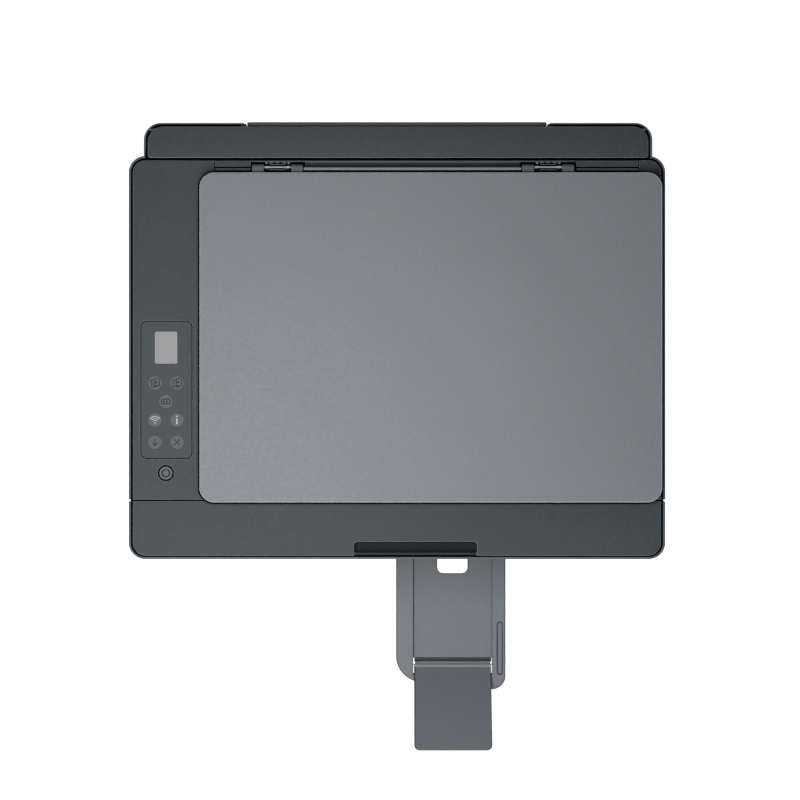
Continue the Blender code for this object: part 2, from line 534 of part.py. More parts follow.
# Ink tanks behind the front window, each filler under a flip cap
tank = put("ink_tank_black", box(125.0, 152.5, 5.0, 58.0, 20.0, 98.0), TANK)
fuse(tank, rod("z", 138.7, 24.0, 6.0, 97.0, 105.6, 16))
cut(tank, rod("z", 138.7, 24.0, 4.2, 60.0, 110.0, 14))
color = put("ink_tank_color", box(153.3, 209.0, 5.0, 58.0, 20.0, 98.0), TANK)
FILLERS = {"black": 138.7, "cyan": 163.0, "magenta": 181.2, "yellow": 199.4}
for ink, x in FILLERS.items():
    if ink != "black":
        fuse(color, rod("z", x, 24.0, 6.0, 97.0, 105.6, 16))
        cut(color, rod("z", x, 24.0, 4.2, 60.0, 110.0, 14))
    owner = tank if ink == "black" else color
    fuse(owner, box(x - 5.2, x - 2.8, 35.2, 39.2, 97.0, 108.4), box(x + 2.8, x + 5.2, 35.2, 39.2, 97.0, 108.4))
    cut(owner, rod("x", 37.2, 106.4, 1.0, x - 6.0, x + 6.0, 10))
    cap = put(f"cap_{ink}", rod("z", x, 24.0, 7.6, 106.0, 111.0, 20), INK[ink], (x, 37.2, 106.4))
    fuse(
        cap,
        rod("z", x, 24.0, 3.5, 102.0, 107.0, 14),
        prism([(30.0, 106.2), (37.2, 105.0), (38.4, 106.4), (37.2, 107.8), (34.0, 109.5), (30.0, 109.5)], x - 2.4, x + 2.4, "x"),
        rod("x", 37.2, 106.4, 0.7, x - 5.0, x + 5.0, 10),
    )

# Electronics
board = put("logic_board", box(133.0, 198.0, 215.0, 345.0, 30.0, 31.6), BOARD)
fuse(
    board,
    box(144.2, 156.8, 334.0, 353.0, 31.0, 43.0),
    box(150.0, 172.0, 250.0, 272.0, 31.0, 34.0),
    box(178.0, 190.0, 290.0, 306.0, 31.0, 40.0),
    box(140.0, 190.0, 217.0, 222.0, 31.0, 39.0),
)
cut(board, box(146.2, 154.8, 340.0, 356.0, 33.0, 41.2))
fuse(board, box(148.0, 153.0, 338.0, 351.0, 35.6, 38.6))
power = put("power_module", box(-196.0, -134.0, 262.0, 350.9, 20.5, 62.0), DARK)
fuse(power, box(-178.0, -156.0, 349.0, 353.0, 32.0, 46.0))
cut(power, prism(rounded(-175.5, -158.5, 34.8, 43.2, 4.0, 4), 338.0, 356.0, "y"))
fuse(power, rod("y", -171.3, 39.0, 1.2, 336.0, 350.0, 10), rod("y", -162.7, 39.0, 1.2, 336.0, 350.0, 10))
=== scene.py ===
"""Looks of the inkjet printer: finely edged covers, moulded plastics, icons, hinges, tray and flap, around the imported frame.

Shapes are drawn in millimetres with depths measured back from the body's front face, as the frame has them.
"""

import json
import math
import bmesh
import bpy
from mathutils import Matrix, Vector


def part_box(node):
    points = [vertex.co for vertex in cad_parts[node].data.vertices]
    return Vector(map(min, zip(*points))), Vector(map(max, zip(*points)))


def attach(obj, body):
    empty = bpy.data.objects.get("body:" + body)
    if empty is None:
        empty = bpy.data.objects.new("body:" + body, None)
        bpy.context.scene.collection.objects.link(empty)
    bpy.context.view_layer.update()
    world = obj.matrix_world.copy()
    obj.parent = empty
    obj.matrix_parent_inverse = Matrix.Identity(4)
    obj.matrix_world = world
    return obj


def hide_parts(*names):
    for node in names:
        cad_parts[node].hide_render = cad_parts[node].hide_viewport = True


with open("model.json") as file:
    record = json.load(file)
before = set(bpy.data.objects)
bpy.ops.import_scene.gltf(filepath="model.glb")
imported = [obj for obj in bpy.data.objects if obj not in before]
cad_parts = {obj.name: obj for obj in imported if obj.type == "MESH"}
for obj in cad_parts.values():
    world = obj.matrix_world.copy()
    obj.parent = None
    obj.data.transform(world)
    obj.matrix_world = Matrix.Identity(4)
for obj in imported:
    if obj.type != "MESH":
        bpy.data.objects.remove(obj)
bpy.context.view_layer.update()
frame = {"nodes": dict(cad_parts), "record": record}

MM = 0.001
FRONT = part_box("front_door")[0].y / MM
BODY_OF = {node: body for body, nodes in frame["record"]["behaviour"]["bodies"].items() for node in nodes}


def cad(*nodes):
    """x0, x1, y0, y1, z0, z1 of the nodes in millimetres, depth from the front face."""
    boxes = [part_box(node) for node in nodes]
    lo = [min(b[0][i] for b in boxes) / MM for i in range(3)]
    hi = [max(b[1][i] for b in boxes) / MM for i in range(3)]
    return lo[0], hi[0], lo[1] - FRONT, hi[1] - FRONT, lo[2], hi[2]


# ---------------------------------------------------------------- materials


def new_material(name):
    made = bpy.data.materials.new(name)
    made.use_nodes = True
    return made, made.node_tree, made.node_tree.nodes["Principled BSDF"]


def add(tree, kind, links=(), **values):
    """A node with its properties or input values set, and links as (input name, output socket)."""
    made = tree.nodes.new(kind)
    for key, value in values.items():
        if key.startswith("in_"):
            made.inputs[key[3:].replace("_", " ")].default_value = value
        else:
            setattr(made, key, value)
    for name, socket in links:
        tree.links.new(socket, made.inputs[name])
    return made


def noise(tree, coord, scale, detail=2.0, rough=0.55):
    return add(tree, "ShaderNodeTexNoise", [("Vector", coord)], in_Scale=scale, in_Detail=detail, in_Roughness=rough).outputs["Fac"]


def math_node(tree, operation, a, b):
    made = tree.nodes.new("ShaderNodeMath")
    made.operation = operation
    for socket, value in zip(made.inputs, (a, b)):
        if isinstance(value, (int, float)):
            socket.default_value = value
        else:
            tree.links.new(value, socket)
    return made.outputs[0]


def spread(tree, value, low, high, from_low=0.3, from_high=0.7):
    return add(
        tree, "ShaderNodeMapRange", [("Value", value)], in_From_Min=from_low, in_From_Max=from_high, in_To_Min=low, in_To_Max=high
    ).outputs["Result"]


def tint(tree, rgb, factor):
    """rgb times a factor socket, as a colour socket."""
    scaled = add(tree, "ShaderNodeVectorMath", operation="SCALE")
    scaled.inputs[0].default_value = rgb
    tree.links.new(factor, scaled.inputs["Scale"])
    return scaled.outputs["Vector"]


def moulded(name, rgb, rough=(0.5, 0.64), mottle=0.05, fleck=0.062, bump=0.25, cell=2600.0, specular=0.5):
    """Spark-eroded moulded plastic: fine pits, soft mottling and a slow drift of tone."""
    made, tree, shader = new_material(name)
    coord = add(tree, "ShaderNodeTexCoord").outputs["Object"]
    cloudy = noise(tree, coord, 330.0, 3.0, 0.6)
    fine = noise(tree, coord, 820.0, 2.0, 0.6)
    slow = noise(tree, coord, 11.0, 2.0, 0.5)
    pits = add(tree, "ShaderNodeTexVoronoi", [("Vector", coord)], in_Scale=cell).outputs["Distance"]
    tone = math_node(tree, "MULTIPLY", spread(tree, cloudy, 1 - mottle, 1 + mottle), spread(tree, fine, 1 - fleck, 1 + fleck))
    tone = math_node(tree, "MULTIPLY", tone, spread(tree, slow, 0.985, 1.015))
    tree.links.new(tint(tree, rgb, tone), shader.inputs["Base Color"])
    tree.links.new(spread(tree, cloudy, rough[0], rough[1]), shader.inputs["Roughness"])
    height = math_node(tree, "ADD", math_node(tree, "MULTIPLY", pits, 0.7), math_node(tree, "MULTIPLY", fine, 0.6))
    surface = add(tree, "ShaderNodeBump", [("Height", height)], in_Strength=bump, in_Distance=0.00012)
    tree.links.new(surface.outputs["Normal"], shader.inputs["Normal"])
    shader.inputs["Specular IOR Level"].default_value = specular
    return made


def brushed(name, rgb, rough=(0.25, 0.4), stretch=(40.0, 900.0, 900.0)):
    """Rolled or turned metal with fine lines along X."""
    made, tree, shader = new_material(name)
    coord = add(tree, "ShaderNodeTexCoord").outputs["Object"]
    lines = add(tree, "ShaderNodeMapping", [("Vector", coord)], in_Scale=stretch).outputs["Vector"]
    streak = noise(tree, lines, 3.0, 3.0, 0.6)
    smudge = noise(tree, coord, 60.0, 2.0)
    tree.links.new(tint(tree, rgb, spread(tree, streak, 0.9, 1.08)), shader.inputs["Base Color"])
    tree.links.new(spread(tree, math_node(tree, "ADD", math_node(tree, "MULTIPLY", streak, 0.5), math_node(tree, "MULTIPLY", smudge, 0.5)), *rough), shader.inputs["Roughness"])
    surface = add(tree, "ShaderNodeBump", [("Height", streak)], in_Strength=0.15, in_Distance=0.00005)
    tree.links.new(surface.outputs["Normal"], shader.inputs["Normal"])
    shader.inputs["Metallic"].default_value = 1.0
    return made


def foam(name, rgb):
    made, tree, shader = new_material(name)
    coord = add(tree, "ShaderNodeTexCoord").outputs["Object"]
    cells = add(tree, "ShaderNodeTexVoronoi", [("Vector", coord)], in_Scale=900.0).outputs["Distance"]
    soft = noise(tree, coord, 300.0, 3.0)
    tree.links.new(tint(tree, rgb, math_node(tree, "MULTIPLY", spread(tree, soft, 0.97, 1.02), spread(tree, cells, 0.93, 1.02, 0.0, 0.6))), shader.inputs["Base Color"])
    tree.links.new(spread(tree, soft, 0.75, 0.9), shader.inputs["Roughness"])
    surface = add(tree, "ShaderNodeBump", [("Height", cells)], in_Strength=0.35, in_Distance=0.0002)
    tree.links.new(surface.outputs["Normal"], shader.inputs["Normal"])
    return made


def clear_glass(name):
    made, tree, shader = new_material(name)
    coord = add(tree, "ShaderNodeTexCoord").outputs["Object"]
    haze = noise(tree, coord, 40.0, 4.0)
    tree.links.new(tint(tree, (0.93, 0.975, 0.955), spread(tree, haze, 0.99, 1.0)), shader.inputs["Base Color"])
    tree.links.new(spread(tree, haze, 0.01, 0.05), shader.inputs["Roughness"])
    shader.inputs["Transmission Weight"].default_value = 1.0
    shader.inputs["IOR"].default_value = 1.5
    return made


def circuit(name):
    """Green solder mask over straight copper tracks, with bare pads."""
    made, tree, shader = new_material(name)
    coord = add(tree, "ShaderNodeTexCoord").outputs["Object"]
    tracks = add(tree, "ShaderNodeTexBrick", [("Vector", coord)], in_Scale=95.0, in_Mortar_Size=0.035, in_Bias=-0.3)
    tracks.inputs["Color1"].default_value = (0.012, 0.105, 0.045, 1)
    tracks.inputs["Color2"].default_value = (0.016, 0.135, 0.055, 1)
    tracks.inputs["Mortar"].default_value = (0.03, 0.22, 0.09, 1)
    dots = add(tree, "ShaderNodeTexVoronoi", [("Vector", coord)], in_Scale=240.0).outputs["Distance"]
    pads = spread(tree, dots, 1.0, 0.0, 0.12, 0.16)
    mixed = add(tree, "ShaderNodeMix", data_type="RGBA")
    tree.links.new(pads, mixed.inputs[0])
    tree.links.new(tracks.outputs["Color"], mixed.inputs[6])
    mixed.inputs[7].default_value = (0.62, 0.58, 0.45, 1)
    tree.links.new(mixed.outputs[2], shader.inputs["Base Color"])
    tree.links.new(spread(tree, noise(tree, coord, 150.0), 0.25, 0.4), shader.inputs["Roughness"])
    surface = add(tree, "ShaderNodeBump", [("Height", tracks.outputs["Fac"])], in_Strength=0.3, in_Distance=0.00008)
    tree.links.new(surface.outputs["Normal"], shader.inputs["Normal"])
    return made


def ink_tank(name, inks):
    """Milky tank plastic: each chamber shows its ink up to a level, by height above the base."""
    made, tree, shader = new_material(name)
    coord = add(tree, "ShaderNodeTexCoord").outputs["Object"]
    axes = add(tree, "ShaderNodeSeparateXYZ", [("Vector", coord)])
    wobble = noise(tree, coord, 120.0)
    colour = None
    for start, level, rgb in inks:
        full = add(tree, "ShaderNodeMix", data_type="RGBA")
        filled = math_node(tree, "LESS_THAN", math_node(tree, "ADD", axes.outputs["Z"], math_node(tree, "MULTIPLY", wobble, 0.0006)), level * MM)
        tree.links.new(filled, full.inputs[0])
        full.inputs[6].default_value = (0.42, 0.44, 0.46, 1)
        full.inputs[7].default_value = (*rgb, 1)
        if colour is None:
            colour = full.outputs[2]
            continue
        chosen = add(tree, "ShaderNodeMix", data_type="RGBA")
        tree.links.new(math_node(tree, "GREATER_THAN", axes.outputs["X"], start * MM), chosen.inputs[0])
        tree.links.new(colour, chosen.inputs[6])
        tree.links.new(full.outputs[2], chosen.inputs[7])
        colour = chosen.outputs[2]
    tree.links.new(colour, shader.inputs["Base Color"])
    tree.links.new(spread(tree, wobble, 0.18, 0.3), shader.inputs["Roughness"])
    surface = add(tree, "ShaderNodeBump", [("Height", noise(tree, coord, 700.0))], in_Strength=0.08, in_Distance=0.0001)
    tree.links.new(surface.outputs["Normal"], shader.inputs["Normal"])
    shader.inputs["Coat Weight"].default_value = 0.4
    return made


def display(name):
    """A switched-off grey segment display under a glossy window."""
    made, tree, shader = new_material(name)
    coord = add(tree, "ShaderNodeTexCoord").outputs["Object"]
    lines = add(tree, "ShaderNodeTexWave", [("Vector", coord)], wave_type="BANDS", bands_direction="Y", in_Scale=620.0).outputs["Fac"]
    film = noise(tree, coord, 260.0)
    tone = math_node(tree, "MULTIPLY", spread(tree, film, 0.975, 1.02), spread(tree, lines, 0.985, 1.01, 0.0, 1.0))
    tree.links.new(tint(tree, (0.240, 0.237, 0.243), tone), shader.inputs["Base Color"])
    tree.links.new(spread(tree, film, 0.4, 0.52), shader.inputs["Roughness"])
    shader.inputs["Specular IOR Level"].default_value = 0.25
    return made


SHELL = moulded("shell_plastic", (0.0410, 0.0488, 0.0539), mottle=0.07, fleck=0.11, specular=0.2)
LID = moulded("lid_plastic", (0.146, 0.158, 0.170), mottle=0.04, fleck=0.085)
TRAY = moulded("tray_plastic", (0.137, 0.151, 0.165), mottle=0.035, fleck=0.08)
# painted shade: a near-black with almost no reflectance, on the floors and sheets of gaps, grooves and troughs to paint
# their shade
GAP_SHADE = moulded("gap_painted_shade", (0.0014, 0.0014, 0.0015), rough=(0.7, 0.85), mottle=0.1, fleck=0.1, specular=0.02)
# painted highlight: a much lighter copy of the shell plastic for the fillets and bevels of the deck, door plate, input
# cover and rear hinge bars
SHELL_HIGHLIGHT = moulded("shell_painted_highlight", (0.155, 0.178, 0.194), mottle=0.05, fleck=0.08, specular=0.3)
# painted highlight: a lighter copy of the shell plastic for the top of the side covers', rear wall's and door's rim
RIM_HIGHLIGHT = moulded("cover_rim_painted_highlight", (0.078, 0.092, 0.101), mottle=0.05, fleck=0.08, specular=0.3)
# painted highlight: a lighter copy of the lid plastic for the lid's top fillet
LID_HIGHLIGHT = moulded("lid_painted_highlight", (0.335, 0.35, 0.365), mottle=0.04, fleck=0.06)
# painted shade: a darker copy of the tray plastic for the tray's and flap's fillets and the grip groove, painting their
# dark outlines
TRAY_EDGE_SHADE = moulded("tray_edge_painted_shade", (0.055, 0.060, 0.066), mottle=0.04, fleck=0.06, specular=0.3)
# painted highlight: a lighter copy of the tray plastic on the flap's ridge and heel, for the highlights along its hinge
# barrel
BAND_HIGHLIGHT = moulded("flap_band_painted_highlight", (0.215, 0.230, 0.243), mottle=0.035, fleck=0.06)
# painted light: a lighter copy of the shell plastic for the front hinge bars, brightened against the lid's shade
BAR_PAINTED_LIGHT = moulded("hinge_bar_painted_light", (0.085, 0.097, 0.106), mottle=0.06, fleck=0.08, specular=0.2)
LIP = moulded("notch_lip_plastic", (0.024, 0.028, 0.031), mottle=0.06, fleck=0.08, specular=0.15)
# painted shade: a darker copy of the tray plastic for the flap, which tilts away from the light
FLAP_SHADED = moulded("flap_painted_shade", (0.106, 0.117, 0.129), mottle=0.035, fleck=0.08)
STRIP = moulded("strip_plastic", (0.235, 0.252, 0.268), mottle=0.035, fleck=0.06)
PANEL = moulded("panel_plastic", (0.0430, 0.0508, 0.0568), rough=(0.5, 0.6), mottle=0.05, fleck=0.09, bump=0.15, specular=0.2)
BUTTON = moulded("button_plastic", (0.0880, 0.0935, 0.0985), rough=(0.5, 0.6), mottle=0.03, fleck=0.05, bump=0.1, specular=0.2)
KNUCKLE = moulded("knuckle_plastic", (0.084, 0.086, 0.090), mottle=0.05, fleck=0.05, bump=0.15)
DETAIL = moulded("detail_plastic", (0.135, 0.140, 0.145), mottle=0.05, fleck=0.05, bump=0.1)
# painted shade: a dark plastic for the bands, rings and grooves that paint the dark outlines and slots of the tray and
# flap
OUTLINE_SHADE = moulded("outline_painted_shade", (0.022, 0.024, 0.026), mottle=0.06, fleck=0.06, specular=0.3)
DARK = moulded("dark_plastic", (0.0075, 0.0080, 0.0088), rough=(0.55, 0.7), mottle=0.1, fleck=0.08, specular=0.1)
# painted shade: a plastic about a third as light as the shell, for the finger scoop's inside
SCOOP_SHADE = moulded("scoop_painted_shade", (0.0125, 0.0145, 0.0160), rough=(0.5, 0.62), mottle=0.06, fleck=0.05, specular=0.08)
INNER = moulded("inner_plastic", (0.020, 0.022, 0.024), rough=(0.5, 0.65), mottle=0.08, fleck=0.06)
# painted shade for the gap round the power key; not used, as the ring below takes the near-black gap material
RING_SHADE = moulded("power_ring_shade", (0.0030, 0.0031, 0.0034), rough=(0.5, 0.65), specular=0.05)
POWER_CAP = moulded("power_plastic", (0.108, 0.112, 0.115), rough=(0.45, 0.55), mottle=0.03, fleck=0.03, bump=0.08, specular=0.2)
ICON_DARK = moulded("icon_dark", (0.013, 0.014, 0.015), rough=(0.55, 0.65), specular=0.1, mottle=0.02, fleck=0.02, bump=0.05)
ICON_POWER = moulded("icon_power", (0.022, 0.021, 0.020), rough=(0.5, 0.6), specular=0.1, mottle=0.02, fleck=0.02, bump=0.05)
ICON_LIGHT = moulded("icon_light", (0.42, 0.43, 0.45), rough=(0.4, 0.5), mottle=0.02, fleck=0.02, bump=0.05)
# painted highlight: a light ring round the display window for the highlight on its edge
BEZEL_HIGHLIGHT = moulded("display_bezel_painted_highlight", (0.275, 0.272, 0.278), rough=(0.35, 0.45), mottle=0.02, fleck=0.02, bump=0.05)
SHAFT = moulded("hinge_shaft", (0.40, 0.42, 0.44), rough=(0.35, 0.45), mottle=0.03, fleck=0.03, bump=0.1)
RUBBER = moulded("rubber", (0.022, 0.022, 0.022), rough=(0.75, 0.9), mottle=0.08, fleck=0.08, bump=0.4, specular=0.3)
ACETAL = moulded("acetal", (0.68, 0.67, 0.62), rough=(0.3, 0.42), mottle=0.02, fleck=0.02, bump=0.06)
FOAM = foam("white_foam", (0.52, 0.52, 0.505))
GLASS = clear_glass("scanner_glass")
STEEL = brushed("steel", (0.56, 0.57, 0.58))
BOARD = circuit("circuit_board")
TANK_BLACK = ink_tank("tank_black", [(120.0, 78.0, (0.010, 0.010, 0.012))])
TANK_COLOR = ink_tank(
    "tank_color",
    [(150.0, 74.0, (0.005, 0.10, 0.24)), (172.0, 66.0, (0.28, 0.008, 0.07)), (190.3, 80.0, (0.62, 0.42, 0.01))],
)
DISPLAY = display("display_film")
CAPS = {
    "black": moulded("cap_black", (0.012, 0.012, 0.013), rough=(0.35, 0.5)),
    "cyan": moulded("cap_cyan", (0.004, 0.22, 0.48), rough=(0.35, 0.5)),
    "magenta": moulded("cap_magenta", (0.46, 0.010, 0.16), rough=(0.35, 0.5)),
    "yellow": moulded("cap_yellow", (0.72, 0.48, 0.012), rough=(0.35, 0.5)),
}

# ---------------------------------------------------------------- shapes


def arc(cx, cy, r, a0, a1, steps):
    return [
        (
            cx + r * math.cos(math.radians(a0 + (a1 - a0) * i / steps)),
            cy + r * math.sin(math.radians(a0 + (a1 - a0) * i / steps)),
        )
        for i in range(steps + 1)
    ]


def rounded(x0, x1, y0, y1, radii=0.0, steps=14):
    """Counter-clockwise outline; radii run front left, front right, rear right, rear left."""
    if not isinstance(radii, tuple):
        radii = (radii,) * 4
    corners = ((x0, y0, 1, 1, 180), (x1, y0, -1, 1, 270), (x1, y1, -1, -1, 0), (x0, y1, 1, -1, 90))
    points = []
    for (cx, cy, sx, sy, start), r in zip(corners, radii):
        if r <= 0:
            points.append((cx, cy))
        else:
            points += arc(cx + sx * r, cy + sy * r, r, start, start + 90, steps)
    return points


def stack(rings, closed=False):
    """Rings of equal count joined in order, with a cap at each end, or joined round to the first."""
    made = bmesh.new()
    rows = [[made.verts.new(p) for p in ring] for ring in rings]
    pairs = list(zip(rows, rows[1:])) + ([(rows[-1], rows[0])] if closed else [])
    for below, above in pairs:
        for i in range(len(below)):
            j = (i + 1) % len(below)
            made.faces.new((below[i], below[j], above[j], above[i]))
    if not closed:
        made.faces.new(list(reversed(rows[0])))
        made.faces.new(rows[-1])
    bmesh.ops.recalc_face_normals(made, faces=made.faces)
    return made


PLACE = {
    "z": lambda a, b, h: (a, b, h),
    "x": lambda a, b, h: (h, a, b),
    "y": lambda a, b, h: (a, h, b),
}


def prism(outline, low, high, axis="z"):
    place = PLACE[axis]
    return stack([[place(a, b, low) for a, b in outline], [place(a, b, high) for a, b in outline]])


def box(x0, x1, y0, y1, z0, z1):
    return prism([(x0, y0), (x1, y0), (x1, y1), (x0, y1)], z0, z1)


def rod(axis, a, b, r, low, high, steps=40):
    return prism(arc(a, b, r, 0, 360 - 360 / steps, steps - 1), low, high, axis)


def turned(axis, a, b, profile, steps=56):
    """A turned shape: profile is (radius, height) pairs along the axis."""
    place = PLACE[axis]
    return stack([[place(p, q, h) for p, q in arc(a, b, r, 0, 360 - 360 / steps, steps - 1)] for r, h in profile])


def frame_ring(outer, inner, low, high):
    """A closed band between two outlines of equal count."""
    return stack(
        [
            [(x, y, low) for x, y in outer],
            [(x, y, high) for x, y in outer],
            [(x, y, high) for x, y in inner],
            [(x, y, low) for x, y in inner],
        ],
        closed=True,
    )


def sector(cx, cy, r0, r1, a0, a1, low, high, steps=20):
    """Part of a flat ring, from angle a0 to a1."""
    return prism(arc(cx, cy, r1, a0, a1, steps) + list(reversed(arc(cx, cy, r0, a0, a1, steps))), low, high)


def bar(x0, y0, x1, y1, width, low, high):
    """A flat stroke between two points."""
    dx, dy = x1 - x0, y1 - y0
    length = math.hypot(dx, dy)
    nx, ny = -dy / length * width / 2, dx / length * width / 2
    return prism([(x0 + nx, y0 + ny), (x0 - nx, y0 - ny), (x1 - nx, y1 - ny), (x1 + nx, y1 + ny)], low, high)


def pillow(at, low, high, top=0.8, bottom=0.3, steps=5):
    """A plate with rounded edges: at(inset) gives its outline drawn in by inset."""
    rings = []
    for k in range(steps + 1):
        turn = math.radians(90.0 * k / steps)
        rings.append((bottom * (1 - math.sin(turn)), low + bottom * (1 - math.cos(turn))))
    for k in range(steps + 1):
        turn = math.radians(90.0 * k / steps)
        rings.append((top * (1 - math.cos(turn)), high - top * (1 - math.sin(turn))))
    return stack([[(x, y, z) for x, y in at(inset)] for inset, z in rings])


def plate_outline(area, radii, steps=16):
    """Outlines of a rounded rectangle for pillow()."""
    x0, x1, y0, y1 = area
    radii = radii if isinstance(radii, tuple) else (radii,) * 4

    def at(inset):
        drawn = tuple(max(r - inset, 0.05) for r in radii)
        return rounded(x0 + inset, x1 - inset, y0 + inset, y1 - inset, drawn, steps)

    return at


def merged(*shapes):
    made = bmesh.new()
    for shape in shapes:
        mesh = bpy.data.meshes.new("part")
        shape.to_mesh(mesh)
        shape.free()
        made.from_mesh(mesh)
        bpy.data.meshes.remove(mesh)
    return made


def put(name, shape, mat):
    shape.transform(Matrix.Translation((0, FRONT * MM, 0)) @ Matrix.Scale(MM, 4))
    mesh = bpy.data.meshes.new(name)
    shape.to_mesh(mesh)
    shape.free()
    mesh.materials.append(mat)
    made = bpy.data.objects.new(name, mesh)
    bpy.context.scene.collection.objects.link(made)
    return made


def piece(name, body, mat, shape, steps=(), edge=0.4, rounds=3, angle=35.0, replaces=(), edge_light_and_shade=None, above=-1e9, flat=0.96):
    """A finished piece: the shape with its cuts ("-") and joins ("+") made, its edges rounded, riding on a CAD body. A
    second edge material paints highlight, or on the tray shade, onto its sloping fillet and bevel faces.
    """
    made = put(name, shape, mat)
    helpers = []
    for sign, other in steps:
        helper = put("helper", other, mat)
        helpers.append(helper)
        step = made.modifiers.new("step", "BOOLEAN")
        step.operation = "DIFFERENCE" if sign == "-" else "UNION"
        step.object = helper
        step.solver = "EXACT"
    if helpers:
        bpy.context.view_layer.update()
        graph = bpy.context.evaluated_depsgraph_get()
        mesh = bpy.data.meshes.new_from_object(made.evaluated_get(graph))
        made.modifiers.clear()
        old, made.data = made.data, mesh
        bpy.data.meshes.remove(old)
        for helper in helpers:
            data = helper.data
            bpy.data.objects.remove(helper)
            bpy.data.meshes.remove(data)
        mesh.name = name
        clean = bmesh.new()
        clean.from_mesh(mesh)
        bmesh.ops.remove_doubles(clean, verts=clean.verts, dist=2e-6)
        bmesh.ops.dissolve_degenerate(clean, edges=clean.edges, dist=1e-6)
        clean.to_mesh(mesh)
        clean.free()
        mesh.materials.clear()
        mesh.materials.append(mat)
        for polygon in mesh.polygons:
            polygon.material_index = 0
    # painted edge light and shade: faces sloping between flat and upright, above a given height, take the lighter or
    # darker edge material
    if edge_light_and_shade:
        made.data.materials.append(edge_light_and_shade)
        for polygon in made.data.polygons:
            if 0.12 < polygon.normal.z < flat and polygon.center.z > above * MM:
                polygon.material_index = 1
    made.data.shade_smooth()
    if edge:
        rounding = made.modifiers.new("edges", "BEVEL")
        rounding.width = edge * MM
        rounding.segments = rounds
        rounding.limit_method = "ANGLE"
        rounding.angle_limit = math.radians(angle)
        rounding.harden_normals = True
        rounding.use_clamp_overlap = False
        # the bevel's new faces take the same painted highlight or shade
        if edge_light_and_shade:
            rounding.material = 1
    else:
        even = made.modifiers.new("normals", "WEIGHTED_NORMAL")
        even.mode = "FACE_AREA"
        even.weight = 100
        even.keep_sharp = True
    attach(made, body)
    if replaces:
        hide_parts(*replaces)
    return made


# ---------------------------------------------------------------- body sizes

X0, X1, _, _, _, RIM = cad("left_cover", "right_cover")
HALF = (X1 - X0) / 2
REAR_LEFT, REAR_RIGHT = 205.3, 207.1
STEP = cad("left_cover")[3] - 0.3
DEPTH = cad("rear_panel")[3]
RADII = (13.2, 13.4, 13.9)
WALL, INSET = 1.7, 3.5
FLOOR_TOP = cad("left_cover")[4]
DECK = cad("top_deck")
DECK_Z = 147.0


def side_outline(rear, inset, steps, back):
    """The right-hand half of the body's outline, from the front to the rear."""
    half, rear, step, deep = HALF - inset, rear - inset, STEP + 0.5 - inset, DEPTH - inset + back
    rf, rm, rr = (r - inset for r in RADII)
    turn = math.degrees(math.acos(max(0.0, (rear - (half - rm)) / rm)))
    right = arc(half - rf, inset + rf, rf, -90, 0, steps)
    right += arc(half - rm, step - rm, rm, 0, turn, steps)
    return right + arc(rear - rr, deep - rr, rr, 0, 90, steps)


def body_outline(inset, steps=18, back=0.0):
    left = side_outline(REAR_LEFT, inset, steps, back)
    return side_outline(REAR_RIGHT, inset, steps, back) + [(-x, y) for x, y in reversed(left)]


# ---------------------------------------------------------------- covers

for side, sign in (("left", -1.0), ("right", 1.0)):
    near, far = sorted((sign * -230.0, sign * 190.0))
    lo, hi = sorted((sign * 190.0, sign * 230.0))
    shape = pillow(body_outline, FLOOR_TOP, RIM, 0.55, 0.3, 4)
    steps = [
        ("-", prism(body_outline(WALL, back=0.65), 10.0, 160.0)),
        ("-", box(near, far, -5.0, 360.0, 10.0, 160.0)),
        ("-", box(lo, hi, -5.0, DECK[2], 10.0, 160.0)),
        ("-", box(lo, hi, STEP + 0.3, 360.0, 10.0, 160.0)),
        ("-", frame_ring(body_outline(-2.0), body_outline(0.7), 121.9, 122.6)),
    ]
    piece(f"{side}_side_cover", "chassis", SHELL, shape, steps, edge=0.35, replaces=(f"{side}_cover",), edge_light_and_shade=RIM_HIGHLIGHT, above=146.0, flat=2.0)
    a, b = sorted((sign * 211.4, sign * 215.7))
    # a near-black ledge in the gap between cover rim and deck, painting the gap's shade
    piece(f"{side}_deck_gap_shade", "chassis", GAP_SHADE, box(a, b, 52.0, 318.0, 140.7, 143.0), edge=0.3)

rear_steps = [
    ("-", prism(body_outline(WALL, back=0.65), 10.0, 160.0)),
    ("-", box(-230.0, 230.0, -5.0, 327.0, 10.0, 160.0)),
    ("-", box(-124.0, 124.0, 351.2, 356.0, 21.9, 160.0)),
    ("-", prism(rounded(-178.5, -155.5, 31.5, 46.5, 1.5, 5), 345.0, 360.0, "y")),
    ("-", prism(rounded(143.5, 157.5, 31.0, 43.8, 0.8, 4), 345.0, 360.0, "y")),
    ("-", frame_ring(body_outline(-2.0), body_outline(0.7), 121.9, 122.6)),
]
for k in range(12):
    x = -196.0 + 5.2 * k
    if x < -135.0:
        rear_steps.append(("-", prism(rounded(x, x + 2.2, 66.0, 104.0, 1.05, 5), 345.0, 360.0, "y")))
for k in range(9):
    x = 138.0 + 5.2 * k
    rear_steps.append(("-", prism(rounded(x, x + 2.2, 66.0, 104.0, 1.05, 5), 345.0, 360.0, "y")))
piece("rear_cover_wall", "chassis", SHELL, pillow(body_outline, FLOOR_TOP, RIM, 0.55, 0.3, 4), rear_steps, edge=0.3, replaces=("rear_panel",), edge_light_and_shade=RIM_HIGHLIGHT, above=146.0, flat=2.0)
piece(
    "support_channel",
    "chassis",
    INNER,
    box(-127.0, 127.0, 348.8, 351.2, FLOOR_TOP, 141.0),
    [
        ("+", box(-127.0, -122.4, 350.4, 353.2, FLOOR_TOP, 141.0)),
        ("+", box(122.4, 127.0, 350.4, 353.2, FLOOR_TOP, 141.0)),
        ("+", box(-123.0, 123.0, 350.4, 352.8, FLOOR_TOP, 21.5)),
    ],
    edge=0.25,
)

